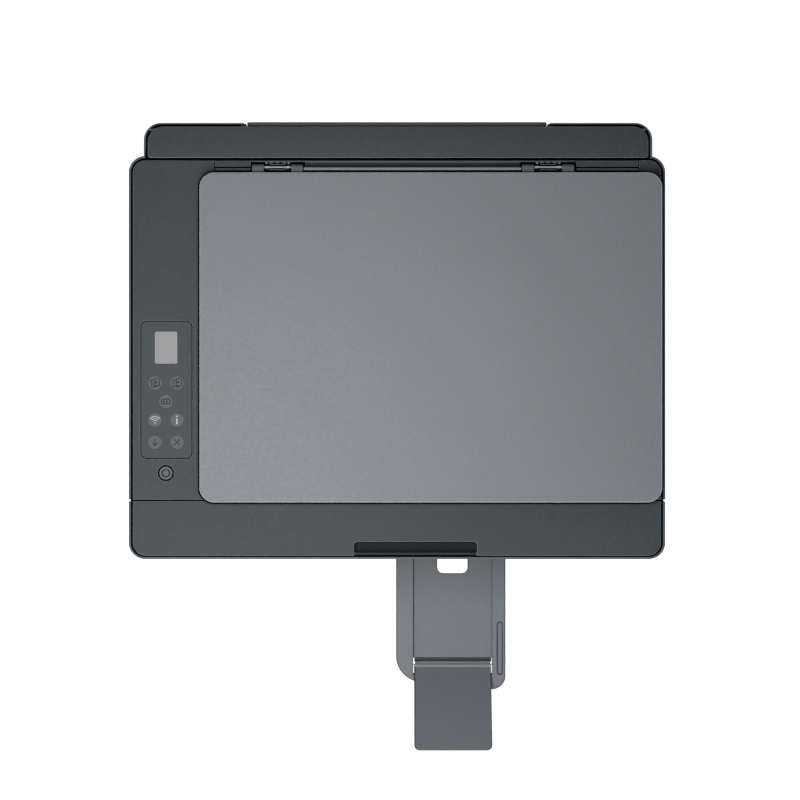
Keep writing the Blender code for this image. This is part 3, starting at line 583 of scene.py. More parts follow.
piece(
    "front_lower_panel",
    "chassis",
    SHELL,
    pillow(lambda i: rounded(-HALF + i, HALF - i, i, 48.0 - i, (RADII[0] - i, RADII[0] - i, 0.6, 0.6), 18), FLOOR_TOP, 122.6, 0.5, 0.3, 4),
    [
        ("-", prism(rounded(2.2 - HALF, HALF - 2.2, 2.2, 60.0, (RADII[0] - 2.2, RADII[0] - 2.2, 0, 0), 18), 10.0, 140.0)),
        ("-", prism(rounded(-112.0, 112.0, 21.5, 80.0, 4.0, 8), -5.0, 5.0, "y")),
        ("-", prism(rounded(127.5, 206.5, 32.0, 92.0, 4.0, 8), -5.0, 5.0, "y")),
    ],
    edge=0.5,
    replaces=("front_panel",),
)
for side, sign in (("left", -1.0), ("right", 1.0)):
    a, b = sorted((sign * 210.6, sign * 213.2))
    c, d = sorted((sign * 210.6, sign * 216.0))
    piece(
        f"door_bracket_{side}",
        "chassis",
        INNER,
        box(c, d, 30.0, 46.0, 104.0, 119.0),
        [
            ("+", box(a, b, 35.1, 38.8, 117.0, 143.0)),
            ("+", rod("x", 38.0, 143.0, 2.9, a, b, 32)),
            ("-", rod("x", 38.0, 143.0, 1.5, a - 1, b + 1, 24)),
        ],
        edge=0.2,
    )

# ---------------------------------------------------------------- deck

panel = cad("control_panel")
PX0, PX1, PY0, PY1 = panel[0] + 3.2, panel[1] - 2.5, panel[2] + 2.5, panel[3] - 2.5
power = cad("button_power")
PWX, PWY = (power[0] + power[1]) / 2, (power[2] + power[3]) / 2
hinges = [cad("lid_hinge_left"), cad("lid_hinge_right")]
HX = [(h[0] + h[1]) / 2 for h in hinges]
RIBS = ((-147.5, -118.6), (145.5, 195.5))
deck_steps = [
    ("-", box(-123.0, 173.0, 68.0, 284.0, 130.0, 150.0)),
    ("-", prism(rounded(PX0 - 0.7, PX1 + 0.7, PY0 - 0.7, PY1 + 0.7, 5.1, 14), 130.0, 150.0)),
    ("-", rod("z", PWX, PWY, 6.6, 130.0, 150.0, 56)),
    ("-", box(HX[0] - 21.4, HX[0] + 22.3, 313.9, 322.0, 130.0, 150.0)),
    ("-", box(HX[1] - 23.0, HX[1] + 22.0, 313.9, 322.0, 130.0, 150.0)),
    ("-", box(HX[0] + 22.0, HX[1] - 22.5, 313.9, 322.0, 144.8, 150.0)),
]
for x0, x1 in RIBS:
    out, side = (x0 - 0.9, x1 + 1.0) if x0 < 0 else (x0 - 1.0, x1 + 0.9)
    deck_steps.append(("-", prism(rounded(out, side, 312.0, 323.0 - 0.2, (0, 0, 2.6, 0) if x0 > 0 else (0, 0, 0, 2.6), 8), 145.2, 150.0)))


def deck_outline(inset):
    r = RADII[1] - INSET
    return rounded(-HALF + INSET + inset, HALF - INSET - inset, DECK[2] + inset, DECK[3] - inset, (0.3, 0.3, r - inset, r - inset), 18)


piece(
    "deck_plate",
    "chassis",
    SHELL,
    pillow(deck_outline, DECK_Z - 3.0, DECK_Z, 0.6, 0.3, 4),
    deck_steps,
    edge=0.3,
    replaces=("top_deck",),
    edge_light_and_shade=SHELL_HIGHLIGHT,
)
for k, (x0, x1) in enumerate(RIBS):
    a, b = x0 - 0.8, x1 + 0.8
    # near-black beds under the hinge bars paint the shade lines around them
    piece(f"hinge_bar_shade_bed_{k + 1}", "chassis", GAP_SHADE, prism(rounded(a, b, 314.2, 322.7, (0.4, 0.4, 1.8, 0.4) if x0 > 0 else (0.4, 0.4, 0.4, 1.8), 6), 144.6, 145.5), edge=0.1)
    corner = (0.6, 0.6, 0.6, 2.2) if k == 0 else (0.6, 0.6, 2.2, 0.6)
    piece(f"hinge_bar_rear_{k + 1}", "chassis", SHELL, pillow(plate_outline((x0, x1, 318.2, 322.6), corner, 8), 144.9, 148.4, 0.5, 0.2, 4), edge=0, edge_light_and_shade=SHELL_HIGHLIGHT)
    # front bars in painted light against the lid's shade, with the button plastic as painted highlight on their fillets
    piece(f"hinge_bar_front_{k + 1}", "chassis", BAR_PAINTED_LIGHT, pillow(plate_outline((x0, x1, 315.1, 316.9), 0.5, 5), 144.9, 148.4, 0.4, 0.2, 4), edge=0, edge_light_and_shade=BUTTON)
# the near-black trough paints the shade of the hinge pocket
piece("hinge_trough", "chassis", GAP_SHADE, box(-124.0, 152.0, 312.2, 322.4, 141.2, 142.4), edge=0.2)
piece("hinge_trough_ledge", "chassis", INNER, box(HX[0] + 22.6, HX[1] - 23.2, 319.5, 320.5, 144.0, 146.0), edge=0.2)

# ---------------------------------------------------------------- control strip

panel_steps = [("+", box(PX0 - 2.4, PX1 + 2.4, PY0 - 2.4, PY1 + 2.4, 142.3, 143.5))]
lcd = cad("lcd_display")
panel_steps.append(("-", prism(rounded(lcd[0], lcd[1], lcd[2], lcd[3], 1.2, 6), 138.0, 150.0)))
BUTTONS = {}
for name in ("color_copy", "black_copy", "id_copy", "wireless", "info", "resume", "cancel"):
    b = cad("button_" + name)
    BUTTONS[name] = ((b[0] + b[1]) / 2, (b[2] + b[3]) / 2, (b[1] - b[0]) / 2, b[5])
    panel_steps.append(("-", rod("z", BUTTONS[name][0], BUTTONS[name][1], 5.66, 138.0, 150.0, 48)))
piece(
    "control_strip",
    "chassis",
    PANEL,
    prism(rounded(PX0, PX1, PY0, PY1, 4.4, 14), 142.3, 147.1),
    panel_steps,
    edge=0.1,
    rounds=2,
    replaces=("control_panel",),
)
piece(
    "display_window",
    "chassis",
    DISPLAY,
    pillow(plate_outline((lcd[0] + 0.75, lcd[1] - 0.75, lcd[2] + 0.75, lcd[3] - 0.75), 0.7, 6), 143.0, lcd[5], 0.15, 0.05, 3),
    edge=0,
    replaces=("lcd_display",),
)
# the ring round the window paints its edge highlight
piece(
    "display_frame",
    "chassis",
    BEZEL_HIGHLIGHT,
    frame_ring(rounded(lcd[0] + 0.1, lcd[1] - 0.1, lcd[2] + 0.1, lcd[3] - 0.1, 1.2, 6), rounded(lcd[0] + 0.75, lcd[1] - 0.75, lcd[2] + 0.75, lcd[3] - 0.75, 0.7, 6), 143.0, lcd[5] + 0.1),
    edge=0.12,
    rounds=2,
)
# a near-black ring in the groove round the control strip paints its shade line
piece(
    "panel_groove",
    "chassis",
    GAP_SHADE,
    frame_ring(rounded(PX0 - 1.0, PX1 + 1.0, PY0 - 1.0, PY1 + 1.0, 5.3, 14), rounded(PX0 - 0.05, PX1 + 0.05, PY0 - 0.05, PY1 + 0.05, 4.45, 14), 143.6, 143.95),
    edge=0.05,
    rounds=1,
)
for name, (x, y, r, top) in BUTTONS.items():
    r += 0.1
    profile = [(r - 0.2, 141.6), (r, 141.8), (r, top - 0.15), (r - 0.05, top - 0.05), (r - 0.15, top), (0.4, top - 0.02)]
    piece(f"key_{name}", "button_" + name, BUTTON, turned("z", x, y, profile), edge=0, replaces=("button_" + name,))


def icon(name, body, mat, *shapes):
    made = piece(name, body, mat, merged(*shapes), edge=0)
    made.modifiers.clear()
    for polygon in made.data.polygons:
        polygon.use_smooth = False
    return made


def icon_levels(top):
    """Low and high of a printed symbol, each stroke a hair higher than the last so that none share a face."""
    level = 0.0
    while True:
        yield top - 0.12, top + 0.045 + level
        level += 0.002


for name in ("color_copy", "black_copy"):
    x, y, _, top = BUTTONS[name]
    z = icon_levels(top)
    strokes = []

    def stroke(x0, y0, x1, y1, width=0.6):
        strokes.append(bar(x + x0, y + y0, x + x1, y + y1, width, *next(z)))

    # the rear sheet, then the arched front sheet with its round mark
    for x0, y0, x1, y1 in ((-3.1, -3.3, -3.1, 2.7), (-3.3, 2.5, -1.3, 2.5), (-3.3, -3.2, 1.7, -3.2), (1.5, -3.4, 1.5, -2.7)):
        stroke(x0, y0, x1, y1)
    stroke(-0.7, -2.2, -0.7, 1.8)
    stroke(-0.9, -2.3, 3.7, -2.3)
    stroke(3.5, -2.3, 3.5, 1.8)
    strokes.append(sector(x + 1.4, y + 1.6, 1.8, 2.4, 0, 180, *next(z)))
    strokes.append(sector(x + 0.9, y + 0.5, 0.05, 0.85, 0, 359, *next(z)))
    if name == "color_copy":
        for k, (dx, dy) in enumerate(((-1.9, 1.0), (-1.9, -0.4), (-1.9, -1.8))):
            strokes.append(sector(x + dx, y + dy, 0.03, 0.3, 0, 359, *next(z), steps=12))
    icon(f"symbol_{name}", "button_" + name, ICON_DARK, *strokes)

x, y, _, top = BUTTONS["id_copy"]
z = icon_levels(top)
icon(
    "symbol_id_copy",
    "button_id_copy",
    ICON_DARK,
    frame_ring(rounded(x - 3.7, x + 3.7, y - 2.2, y + 2.2, 0.9, 6), rounded(x - 3.05, x + 3.05, y - 1.55, y + 1.55, 0.4, 6), *next(z)),
    sector(x - 1.4, y, 0.05, 0.75, 0, 359, *next(z), steps=24),
    sector(x + 0.9, y, 0.05, 0.7, 0, 359, *next(z), steps=24),
)
x, y, _, top = BUTTONS["wireless"]
z = icon_levels(top)
icon(
    "symbol_wireless",
    "button_wireless",
    ICON_LIGHT,
    sector(x, y - 2.5, 5.1, 5.6, 42, 138, *next(z), steps=28),
    sector(x, y - 2.5, 3.5, 3.95, 42, 138, *next(z), steps=24),
    sector(x, y - 2.5, 1.9, 2.35, 42, 138, *next(z), steps=20),
    sector(x, y - 2.4, 0.03, 0.5, 0, 359, *next(z), steps=20),
)
x, y, _, top = BUTTONS["info"]
z = icon_levels(top)
icon(
    "symbol_info",
    "button_info",
    ICON_LIGHT,
    sector(x, y + 2.9, 0.03, 0.62, 0, 359, *next(z), steps=24),
    bar(x, y - 3.1, x, y + 1.1, 0.85, *next(z)),
    bar(x - 0.9, y - 3.0, x + 0.9, y - 3.0, 0.45, *next(z)),
    bar(x - 0.85, y + 0.9, x + 0.3, y + 0.9, 0.4, *next(z)),
)
x, y, _, top = BUTTONS["resume"]
z = icon_levels(top)
icon(
    "symbol_resume",
    "button_resume",
    ICON_DARK,
    bar(x, y + 2.9, x, y - 2.5, 0.58, *next(z)),
    bar(x - 2.4, y - 0.2, x + 0.15, y - 2.75, 0.58, *next(z)),
    bar(x + 2.4, y - 0.2, x - 0.15, y - 2.75, 0.58, *next(z)),
)
x, y, _, top = BUTTONS["cancel"]
z = icon_levels(top)
icon(
    "symbol_cancel",
    "button_cancel",
    ICON_DARK,
    bar(x - 2.6, y - 2.6, x + 2.6, y + 2.6, 0.58, *next(z)),
    bar(x - 2.6, y + 2.6, x + 2.6, y - 2.6, 0.58, *next(z)),
)
top = power[5]
r = (power[1] - power[0]) / 2
piece(
    "power_key",
    "button_power",
    POWER_CAP,
    turned("z", PWX, PWY, [(r - 0.3, 141.2), (r - 0.1, 141.6), (r - 0.1, top - 0.5), (r - 0.25, top - 0.15), (r - 0.6, top), (0.4, top - 0.08)]),
    edge=0,
    replaces=("button_power",),
)
z = icon_levels(top)
icon(
    "symbol_power",
    "button_power",
    ICON_POWER,
    sector(PWX, PWY, 2.3, 3.7, 112, 428, *next(z), steps=48),
    bar(PWX, PWY + 0.5, PWX, PWY + 4.1, 0.75, *next(z)),
)
# a near-black ring in the gap round the power key paints the gap's shade
piece(
    "power_ring_shade",
    "chassis",
    GAP_SHADE,
    stack(
        [
            [(px, py, 144.4) for px, py in arc(PWX, PWY, 6.5, 0, 352, 44)],
            [(px, py, 146.95) for px, py in arc(PWX, PWY, 6.5, 0, 352, 44)],
            [(px, py, 146.7) for px, py in arc(PWX, PWY, 5.55, 0, 352, 44)],
            [(px, py, 144.4) for px, py in arc(PWX, PWY, 5.55, 0, 352, 44)],
        ],
        closed=True,
    ),
    edge=0,
)

# ---------------------------------------------------------------- scanner lid

LX0, LX1 = cad("scanner_lid")[0] + 0.5, cad("scanner_lid")[1] + 0.4
LY0 = cad("scanner_lid")[2]
LY1 = 313.05
LZ0, LZ1 = 148.4, cad("scanner_lid")[5]
# the lid's top fillet takes the painted highlight
lid_cap = piece(
    "lid_cap",
    "lid",
    LID,
    pillow(plate_outline((LX0, LX1, LY0, LY1), 12.0, 26), LZ1 - 4.4, LZ1, 1.1, 0.2, 7),
    edge=0,
    replaces=("scanner_lid",),
    edge_light_and_shade=LID_HIGHLIGHT,
    flat=0.93,
)
lid_frame = piece(
    "lid_frame",
    "lid",
    DARK,
    frame_ring(rounded(LX0 + 0.2, LX1 - 0.2, LY0 + 0.2, LY1 - 0.2, 11.8, 26), rounded(LX0 + 12, LX1 - 12, LY0 + 12, LY1 - 12, 3.0, 26), LZ0, LZ1 - 4.4),
    edge=0.35,
)
# a near-black lip standing out past the lid's edge paints the shadow line round the lid
piece(
    "lid_shadow_lip",
    "lid",
    GAP_SHADE,
    frame_ring(rounded(LX0 - 1.3, LX1 + 0.1, LY0 - 1.3, LY1 + 0.8, 12.9, 26), rounded(LX0 + 1.5, LX1 - 1.5, LY0 + 1.5, LY1 - 1.5, 10.5, 26), 150.4, LZ1 - 4.3),
    edge=0.3,
)
pad = cad("lid_pad")
lid_foam = piece(
    "lid_foam",
    "lid",
    FOAM,
    pillow(plate_outline((pad[0], pad[1], pad[2], pad[3]), 3.0, 8), pad[4], pad[5], 0.4, 2.2, 6),
    edge=0,
    replaces=("lid_pad",),
)
KNUCKLES = ((-117.3, -107.6), (-85.7, -76.1), (101.3, 111.0), (133.6, 143.4))
knuckle = [(311.0, 148.7), (314.5, 148.1)] + arc(317.6, 149.5, 2.1, -115, 20, 10) + [(319.2, 150.9), (317.7, 152.6), (311.0, 152.6)]
for k, (x0, x1) in enumerate(KNUCKLES):
    piece(
        f"lid_knuckle_{k + 1}",
        "lid",
        KNUCKLE,
        prism(knuckle, x0, x1, "x"),
        [("-", rod("x", 317.6, 149.5, 1.3, x0 - 1, x1 + 1, 24))],
        edge=0.4,
    )
strip = [(315.1, 149.3), (317.6, 149.3), (317.6, 151.4), (316.5, 153.2), (315.8, 153.4), (315.1, 152.8)]
piece("lid_rear_strip", "lid", STRIP, prism(strip, -75.4, 100.6, "x"), edge=0.35)
piece("lid_strip_root", "lid", DARK, box(-73.0, 98.6, 311.0, 316.2, 149.4, 150.6), edge=0.2)

# ---------------------------------------------------------------- lid hinges

for k, side in enumerate(("left", "right")):
    x = HX[k]
    reach = hinges[k][1] - x
    half = 10.2 if side == "left" else 10.9
    body = "lid_hinges"
    piece(
        f"hinge_post_{side}",
        body,
        DARK,
        box(x - half + 0.4, x + half - 0.4, 314.9, 319.2, 131.8, 147.2),
        [
            ("+", box(x - half + 0.4, x - half + 3.6, 316.7, 318.5, 146.0, 149.0)),
            ("+", box(x + half - 3.6, x + half - 0.4, 316.7, 318.5, 146.0, 149.0)),
        ],
        edge=0.25,
        replaces=(f"lid_hinge_{side}",),
    )
    piece(f"hinge_pin_{side}", body, SHAFT, turned("x", 317.6, 149.5, [(0.4, x - reach), (0.66, x - reach + 0.4), (0.66, x + reach - 0.4), (0.4, x + reach)], 32), edge=0)
    for end, sign in (("a", -1), ("b", 1)):
        lo, hi = sorted((x + sign * (half + 0.2), x + sign * (half - 3.9)))
        piece(f"hinge_collar_{side}_{end}", body, SHAFT, turned("x", 317.6, 149.5, [(0.68, lo), (0.95, lo + 0.3), (0.95, hi - 0.9), (0.68, hi)], 32), edge=0)
        piece(f"hinge_rivet_{side}_{end}", body, KNUCKLE, turned("z", x + sign * (half - 1.6), 315.5, [(0.45, 147.0), (0.45, 147.5), (0.25, 147.65)], 16), edge=0)
    piece(f"hinge_stay_{side}", body, DETAIL, box(x - 7.0, x + 7.0, 315.3, 316.1, 146.9, 148.9), edge=0.15)
    # guides and ribs behind the shaft
    for end, sign in (("a", -1), ("b", 1)):
        piece(
            f"hinge_guide_{side}_{end}",
            "chassis",
            DETAIL,
            box(*sorted((x + sign * 8.0, x + sign * 9.9)), 320.3, 322.1, 142.0, 146.9),
            edge=0.3,
        )
    tray_line = [(x - 6.9, 321.4), (x - 6.1, 320.0), (x - 5.6, 319.75), (x + 5.6, 319.75), (x + 6.1, 320.0), (x + 6.9, 321.4), (x + 6.4, 321.6), (x + 5.5, 320.25), (x - 5.5, 320.25), (x - 6.4, 321.6)]
    piece(f"hinge_catch_{side}", "chassis", DETAIL, prism(tray_line, 142.0, 146.7), edge=0.1, rounds=2)
    for j in range(3):
        cx = x + (j - 1) * 4.85
        piece(f"hinge_rib_{side}_{j + 1}", "chassis", DETAIL, prism([(cx - 1.6, 322.05), (cx - 1.0, 321.25), (cx + 1.0, 321.25), (cx + 1.6, 322.05)], 142.0, 146.6), edge=0.15, rounds=2)

# ---------------------------------------------------------------- front door

door = cad("front_door")
DB = door[3]
RF = RADII[0]
notch = (-34.9, 65.0, 3.2, 14.2)


def door_outline(inset):
    return rounded(-HALF + inset, HALF - inset, inset, DB - inset, (RF - inset, RF - inset, max(1.2 - inset, 0.2), max(1.2 - inset, 0.2)), 18)


inside = rounded(WALL - HALF, HALF - WALL, WALL, 60.0, (RF - WALL, RF - WALL, 0, 0), 18)
door_steps = [
    ("-", prism(inside, 110.0, 142.2)),
    ("-", prism(inside, 144.0, 160.0)),
    ("+", box(notch[0] - 2, notch[1] + 2, 1.0, notch[3] + 2, 134.5, 143.0)),
    ("-", prism(rounded(notch[0], notch[1], notch[2] + 1.9, notch[3], (0.8, 0.8, 2.5, 2.5), 8), 136.5, 160.0)),
    ("-", prism([(37.5, 121.0), (48.0, 121.0), (48.0, 125.6), (37.5, 122.8)], -230.0, 230.0, "x")),
]
for sign in (-1.0, 1.0):
    a, b = sorted((sign * 209.5, sign * 214.4))
    door_steps.append(("-", box(a, b, 28.0, 60.0, 130.0, 150.0)))
    a, b = sorted((sign * 209.9, sign * 216.4))
    door_steps.append(("+", rod("x", 38.0, 143.0, 1.2, a, b, 20)))
piece("door_cap", "door", SHELL, pillow(door_outline, door[4], RIM, 0.55, 0.4, 4), door_steps, edge=0.3, replaces=("front_door",), edge_light_and_shade=RIM_HIGHLIGHT, above=146.0, flat=2.0)
# near-black sheets in the door's gap behind the rim paint the gap's shade
piece("door_gap_shade", "door", GAP_SHADE, frame_ring([(x, y) for x, y in rounded(WALL + 0.1 - HALF, HALF - WALL - 0.1, WALL + 0.1, 46.8, (RF - WALL - 0.1, RF - WALL - 0.1, 1.0, 1.0), 18)], [(x, y) for x, y in rounded(5.0 - HALF, HALF - 5.0, 3.3, 44.8, (RF - 3.5, RF - 3.5, 1.0, 1.0), 18)], 143.7, 144.25), edge=0.1)
piece("door_gap_back", "door", GAP_SHADE, box(-208.5, 208.5, 44.0, 48.0, 142.5, 143.5), edge=0.1)
piece("notch_lip", "door", LIP, box(notch[0] + 1.9, notch[1] - 1.9, 3.35, 5.3, 142.6, 145.0), edge=0.5)


def door_plate_outline(inset):
    return rounded(-HALF + INSET + inset, HALF - INSET - inset, INSET - 0.65 + inset, DB - inset, (RF - 2.7 - inset, RF - 2.7 - inset, 0.3, 0.3), 18)


plate_steps = [("-", prism(rounded(notch[0], notch[1], -2.0, notch[3], (0, 0, 3.3, 3.3), 10), 140.0, 150.0))]
for sign in (-1.0, 1.0):
    a, b = sorted((sign * 209.2, sign * 220.0))
    plate_steps.append(("-", box(a, b, 33.2, 42.8, 140.0, 146.2)))
piece("door_plate", "door", SHELL, pillow(door_plate_outline, 144.3, DECK_Z, 0.6, 0.2, 4), plate_steps, edge=0.3, replaces=("front_door_plate",), edge_light_and_shade=SHELL_HIGHLIGHT)
# the scoop's floor, back and sides, in a darker plastic that paints the shade of the recess
scoop = rounded(notch[0] + 0.1, notch[1] - 0.1, notch[2] + 0.1, notch[3] - 0.1, (0.6, 0.6, 2.8, 2.8), 10)
scoop_in = rounded(notch[0] + 0.7, notch[1] - 0.7, notch[2] + 2.6, notch[3] - 0.7, (0.6, 0.6, 2.2, 2.2), 10)
piece("scoop_floor", "door", SCOOP_SHADE, prism(scoop_in, 136.3, 138.2), edge=0.2)
piece("scoop_wall", "door", SCOOP_SHADE, frame_ring(scoop, scoop_in, 137.0, 143.4), edge=0.2)

# ---------------------------------------------------------------- rear cover and paper support

rc = cad("input_cover")
RCX = 203.0
piece(
    "input_lid",
    "rear_cover",
    SHELL,
    pillow(plate_outline((-RCX + 1.1, RCX + 0.7, rc[2], rc[3] + 0.1), (2.0, 2.0, 12.3, 12.3), 18), 144.5, DECK_Z, 0.6, 0.2, 4),
    [
        ("+", rod("x", 348.4, 145.6, 0.6, -201.6, -196.0, 16)),
        ("+", rod("x", 348.4, 145.6, 0.6, 196.0, 201.6, 16)),
    ],
    edge=0.15,
    rounds=2,
    angle=50.0,
    replaces=("input_cover",),
    edge_light_and_shade=SHELL_HIGHLIGHT,
)
sup = cad("paper_support")
piece(
    "support_panel",
    "support",
    SHELL,
    prism(rounded(sup[0], sup[1], sup[4], sup[5], (2, 2, 5, 5), 10), sup[2], sup[3], "y"),
    [
        ("-", prism(rounded(-30.0, 30.0, 128.0, 141.0, 3.0, 8), sup[3] - 1.0, sup[3] + 2.0, "y")),
        ("-", prism(rounded(-112.0, -40.0, 30.0, 120.0, 3.0, 8), sup[3] - 0.5, sup[3] + 2.0, "y")),
        ("-", prism(rounded(40.0, 112.0, 30.0, 120.0, 3.0, 8), sup[3] - 0.5, sup[3] + 2.0, "y")),
    ],
    edge=0.35,
    replaces=("paper_support",),
)

# ---------------------------------------------------------------- output tray and flap

tr = cad("output_tray")
TX0, TX1, TY0, TY1, TZ0, TZ1 = tr
FLAP = (cad("tray_flap")[0] + 2.6, cad("tray_flap")[1] - 2.6)
FA = (-92.3, 27.6)


def tray_outline(inset, steps=24):
    front_left, front_right = TY0 + 5.7, TY0 + 0.7
    points = [
        (
            TX0 + 25.1 - (25.1 - inset) * math.cos(math.radians(a)),
            front_left + 21.8 - (21.8 - inset) * math.sin(math.radians(a)),
        )
        for a in [90.0 * k / steps for k in range(steps + 1)]
    ]
    points += arc(TX1 - 10.9, front_right + 10.9, 10.9 - inset, 270, 360, 20)
    return points + [(TX1 - inset, TY1 - inset), (TX0 + inset, TY1 - inset)]


# the tray's fillets take the painted edge shade
piece(
    "tray_plate",
    "tray",
    TRAY,
    pillow(tray_outline, TZ0, TZ1, 0.8, 0.5, 5),
    [
        ("-", box(FLAP[0] - 1.0, FLAP[1] + 0.6, -86.9, 22.0, 25.7, 40.0)),
        ("-", box(FLAP[0] - 0.85, FLAP[1] + 0.45, -101.0, -86.8, 10.0, 40.0)),
        ("-", prism(rounded(33.2, 59.4, -16.5, 10.0, 5.3, 10), 10.0, 40.0)),
        ("-", prism(rounded(83.6, 88.3, -100.9, -56.6, 2.3, 10), 27.9, 40.0)),
        ("-", rod("x", FA[0], FA[1], 1.2, FLAP[0] - 3.0, FLAP[1] + 3.0, 20)),
    ],
    edge=0.3,
    replaces=("output_tray",),
    edge_light_and_shade=TRAY_EDGE_SHADE,
)
TILT = math.radians(25.0)
LENGTH = 76.4


def flap_at(u, v, w):
    """u across, v out along the flap from its axis, w above its middle plane."""
    c, s = math.cos(TILT), math.sin(TILT)
    return u, FA[0] - v * c + w * s, FA[1] + v * s + w * c


def flap_outline(inset, left=0.0):
    x0, x1 = FLAP[0] + inset + left, FLAP[1] - inset
    near, far = 1.2 + inset, LENGTH - inset
    r = 4.6 - inset
    tip = [(x0 + r - r * math.cos(math.radians(a)), far - r + r * math.sin(math.radians(a))) for a in range(0, 91, 9)]
    x1 += 0.15
    tip += [(x1 - r + r * math.sin(math.radians(a)), far - r + r * math.cos(math.radians(a))) for a in range(0, 91, 9)]
    return [(x1 - 0.75, near), (x0, near)] + tip


# a ring in the grip groove in the painted edge shade, darkening the groove as its shade
piece(
    "tray_grip_groove_shade",
    "tray",
    TRAY_EDGE_SHADE,
    frame_ring(rounded(83.65, 88.25, -100.85, -56.65, 2.25, 10), rounded(84.4, 87.6, -100.1, -57.4, 1.5, 10), 27.6, 28.3),
    edge=0.15,
    rounds=2,
)
# a dark ring in the finger hole paints its shaded edge
piece(
    "tray_hole_shade_ring",
    "tray",
    OUTLINE_SHADE,
    frame_ring(rounded(32.9, 59.7, -16.8, 10.0, 5.5, 10), rounded(33.65, 58.95, -16.05, 9.0, 4.9, 10), 24.2, 25.55),
    edge=0.15,
    rounds=2,
)
for side, a in (("left", FLAP[0] - 1.0), ("right", FLAP[1] - 0.3)):
    piece(f"tray_stop_{side}", "tray", DARK, box(a, a + 0.8, -101.2, -99.7, 24.2, 29.2), edge=0.1, rounds=2)
# a dark floor under the flap's slot paints the slot's shade
piece("tray_slot_floor", "tray", OUTLINE_SHADE, box(FLAP[0] - 0.05, FLAP[1] + 0.05, -90.2, -86.5, 23.7, 25.0), edge=0.2)
# a dark band just outside the tray's outline paints the shaded outline of its edge
piece(
    "tray_side_shade_band",
    "tray",
    OUTLINE_SHADE,
    frame_ring(tray_outline(-0.3), tray_outline(1.2), TZ0 + 0.5, TZ1 - 1.3),
    [("-", box(FLAP[0] - 0.2, FLAP[1] + 0.2, -130.0, -92.0, 10.0, 40.0))],
    edge=0.2,
)
flap_rings = []
for k in range(5):
    turn = math.radians(90.0 * k / 4)
    flap_rings.append((0.7 * (1 - math.sin(turn)), -1.1 + 0.7 * (1 - math.cos(turn))))
for k in range(5):
    turn = math.radians(90.0 * k / 4)
    flap_rings.append((0.7 * (1 - math.cos(turn)), 1.1 - 0.7 * (1 - math.sin(turn))))
# the flap in its painted shade, with the painted edge shade on its fillets
piece(
    "flap_plate",
    "flap",
    FLAP_SHADED,
    stack([[flap_at(u, v, w) for u, v in flap_outline(inset, 0.5)] for inset, w in flap_rings]),
    edge=0,
    replaces=("tray_flap",),
    edge_light_and_shade=TRAY_EDGE_SHADE,
    flat=0.80,
)
piece(
    "flap_barrel",
    "flap",
    TRAY,
    turned("x", FA[0], FA[1], [(0.4, FLAP[0] - 2.6), (0.4, FLAP[0] + 0.32), (1.4, FLAP[0] + 0.35), (1.6, FLAP[0] + 0.6), (1.6, FLAP[1] - 0.9), (1.4, FLAP[1] - 0.65), (0.4, FLAP[1] - 0.62), (0.4, FLAP[1] + 2.6)], 32),
    edge=0,
)
ridge = [(0.75, 0.9), (0.75, 1.5), (1.1, 1.75), (2.3, 1.75), (2.9, 1.0), (2.9, 0.7), (0.75, 0.7)]
heel = [(-2.7, -0.4), (-2.7, 0.5), (-2.2, 1.1), (-0.6, 1.35), (0.15, 1.3), (0.15, -0.4)]
# the ridge and heel take the painted highlight
for name, outline, mat in (("flap_ridge", ridge, BAND_HIGHLIGHT), ("flap_heel", heel, BAND_HIGHLIGHT)):
    piece(name, "flap", mat, stack([[flap_at(x, v, w) for v, w in outline] for x in (FLAP[0] + 0.5, FLAP[1] - 0.8)]), edge=0.15, rounds=2)
# a dark groove between the flap's ridge and heel paints its shade
piece("flap_groove", "flap", OUTLINE_SHADE, stack([[flap_at(x, v, w) for v, w in ((0.05, 0.2), (0.05, 1.2), (0.85, 1.2), (0.85, 0.2))] for x in (FLAP[0] + 0.5, FLAP[1] - 0.8)]), edge=0.05, rounds=1)
# a dark band just outside the flap's outline paints the shaded outline of its edge
piece(
    "flap_side_shade_band",
    "flap",
    OUTLINE_SHADE,
    stack(
        [
            [flap_at(u, v, w) for u, v in flap_outline(inset)]
            for inset, w in ((-0.3, -0.8), (-0.3, 0.2), (1.0, 0.2), (1.0, -0.8))
        ],
        closed=True,
    ),
    edge=0.15,
    rounds=2,
)

# ---------------------------------------------------------------- feet

for name in ("foot_front_left", "foot_front_right", "foot_rear_left", "foot_rear_right"):
    f = cad(name)
    cx, cy, fr = (f[0] + f[1]) / 2, (f[2] + f[3]) / 2, (f[1] - f[0]) / 2
    piece(
        "pad_" + name,
        "chassis",
        RUBBER,
        turned("z", cx, cy, [(fr - 2.4, 0.35), (fr - 2.0, 0.0), (fr - 0.7, 0.0), (fr, 0.6), (fr, 2.4), (fr - 0.3, 3.0)], 40),
        edge=0,
        replaces=(name,),
    )

# ---------------------------------------------------------------- carried-over nodes

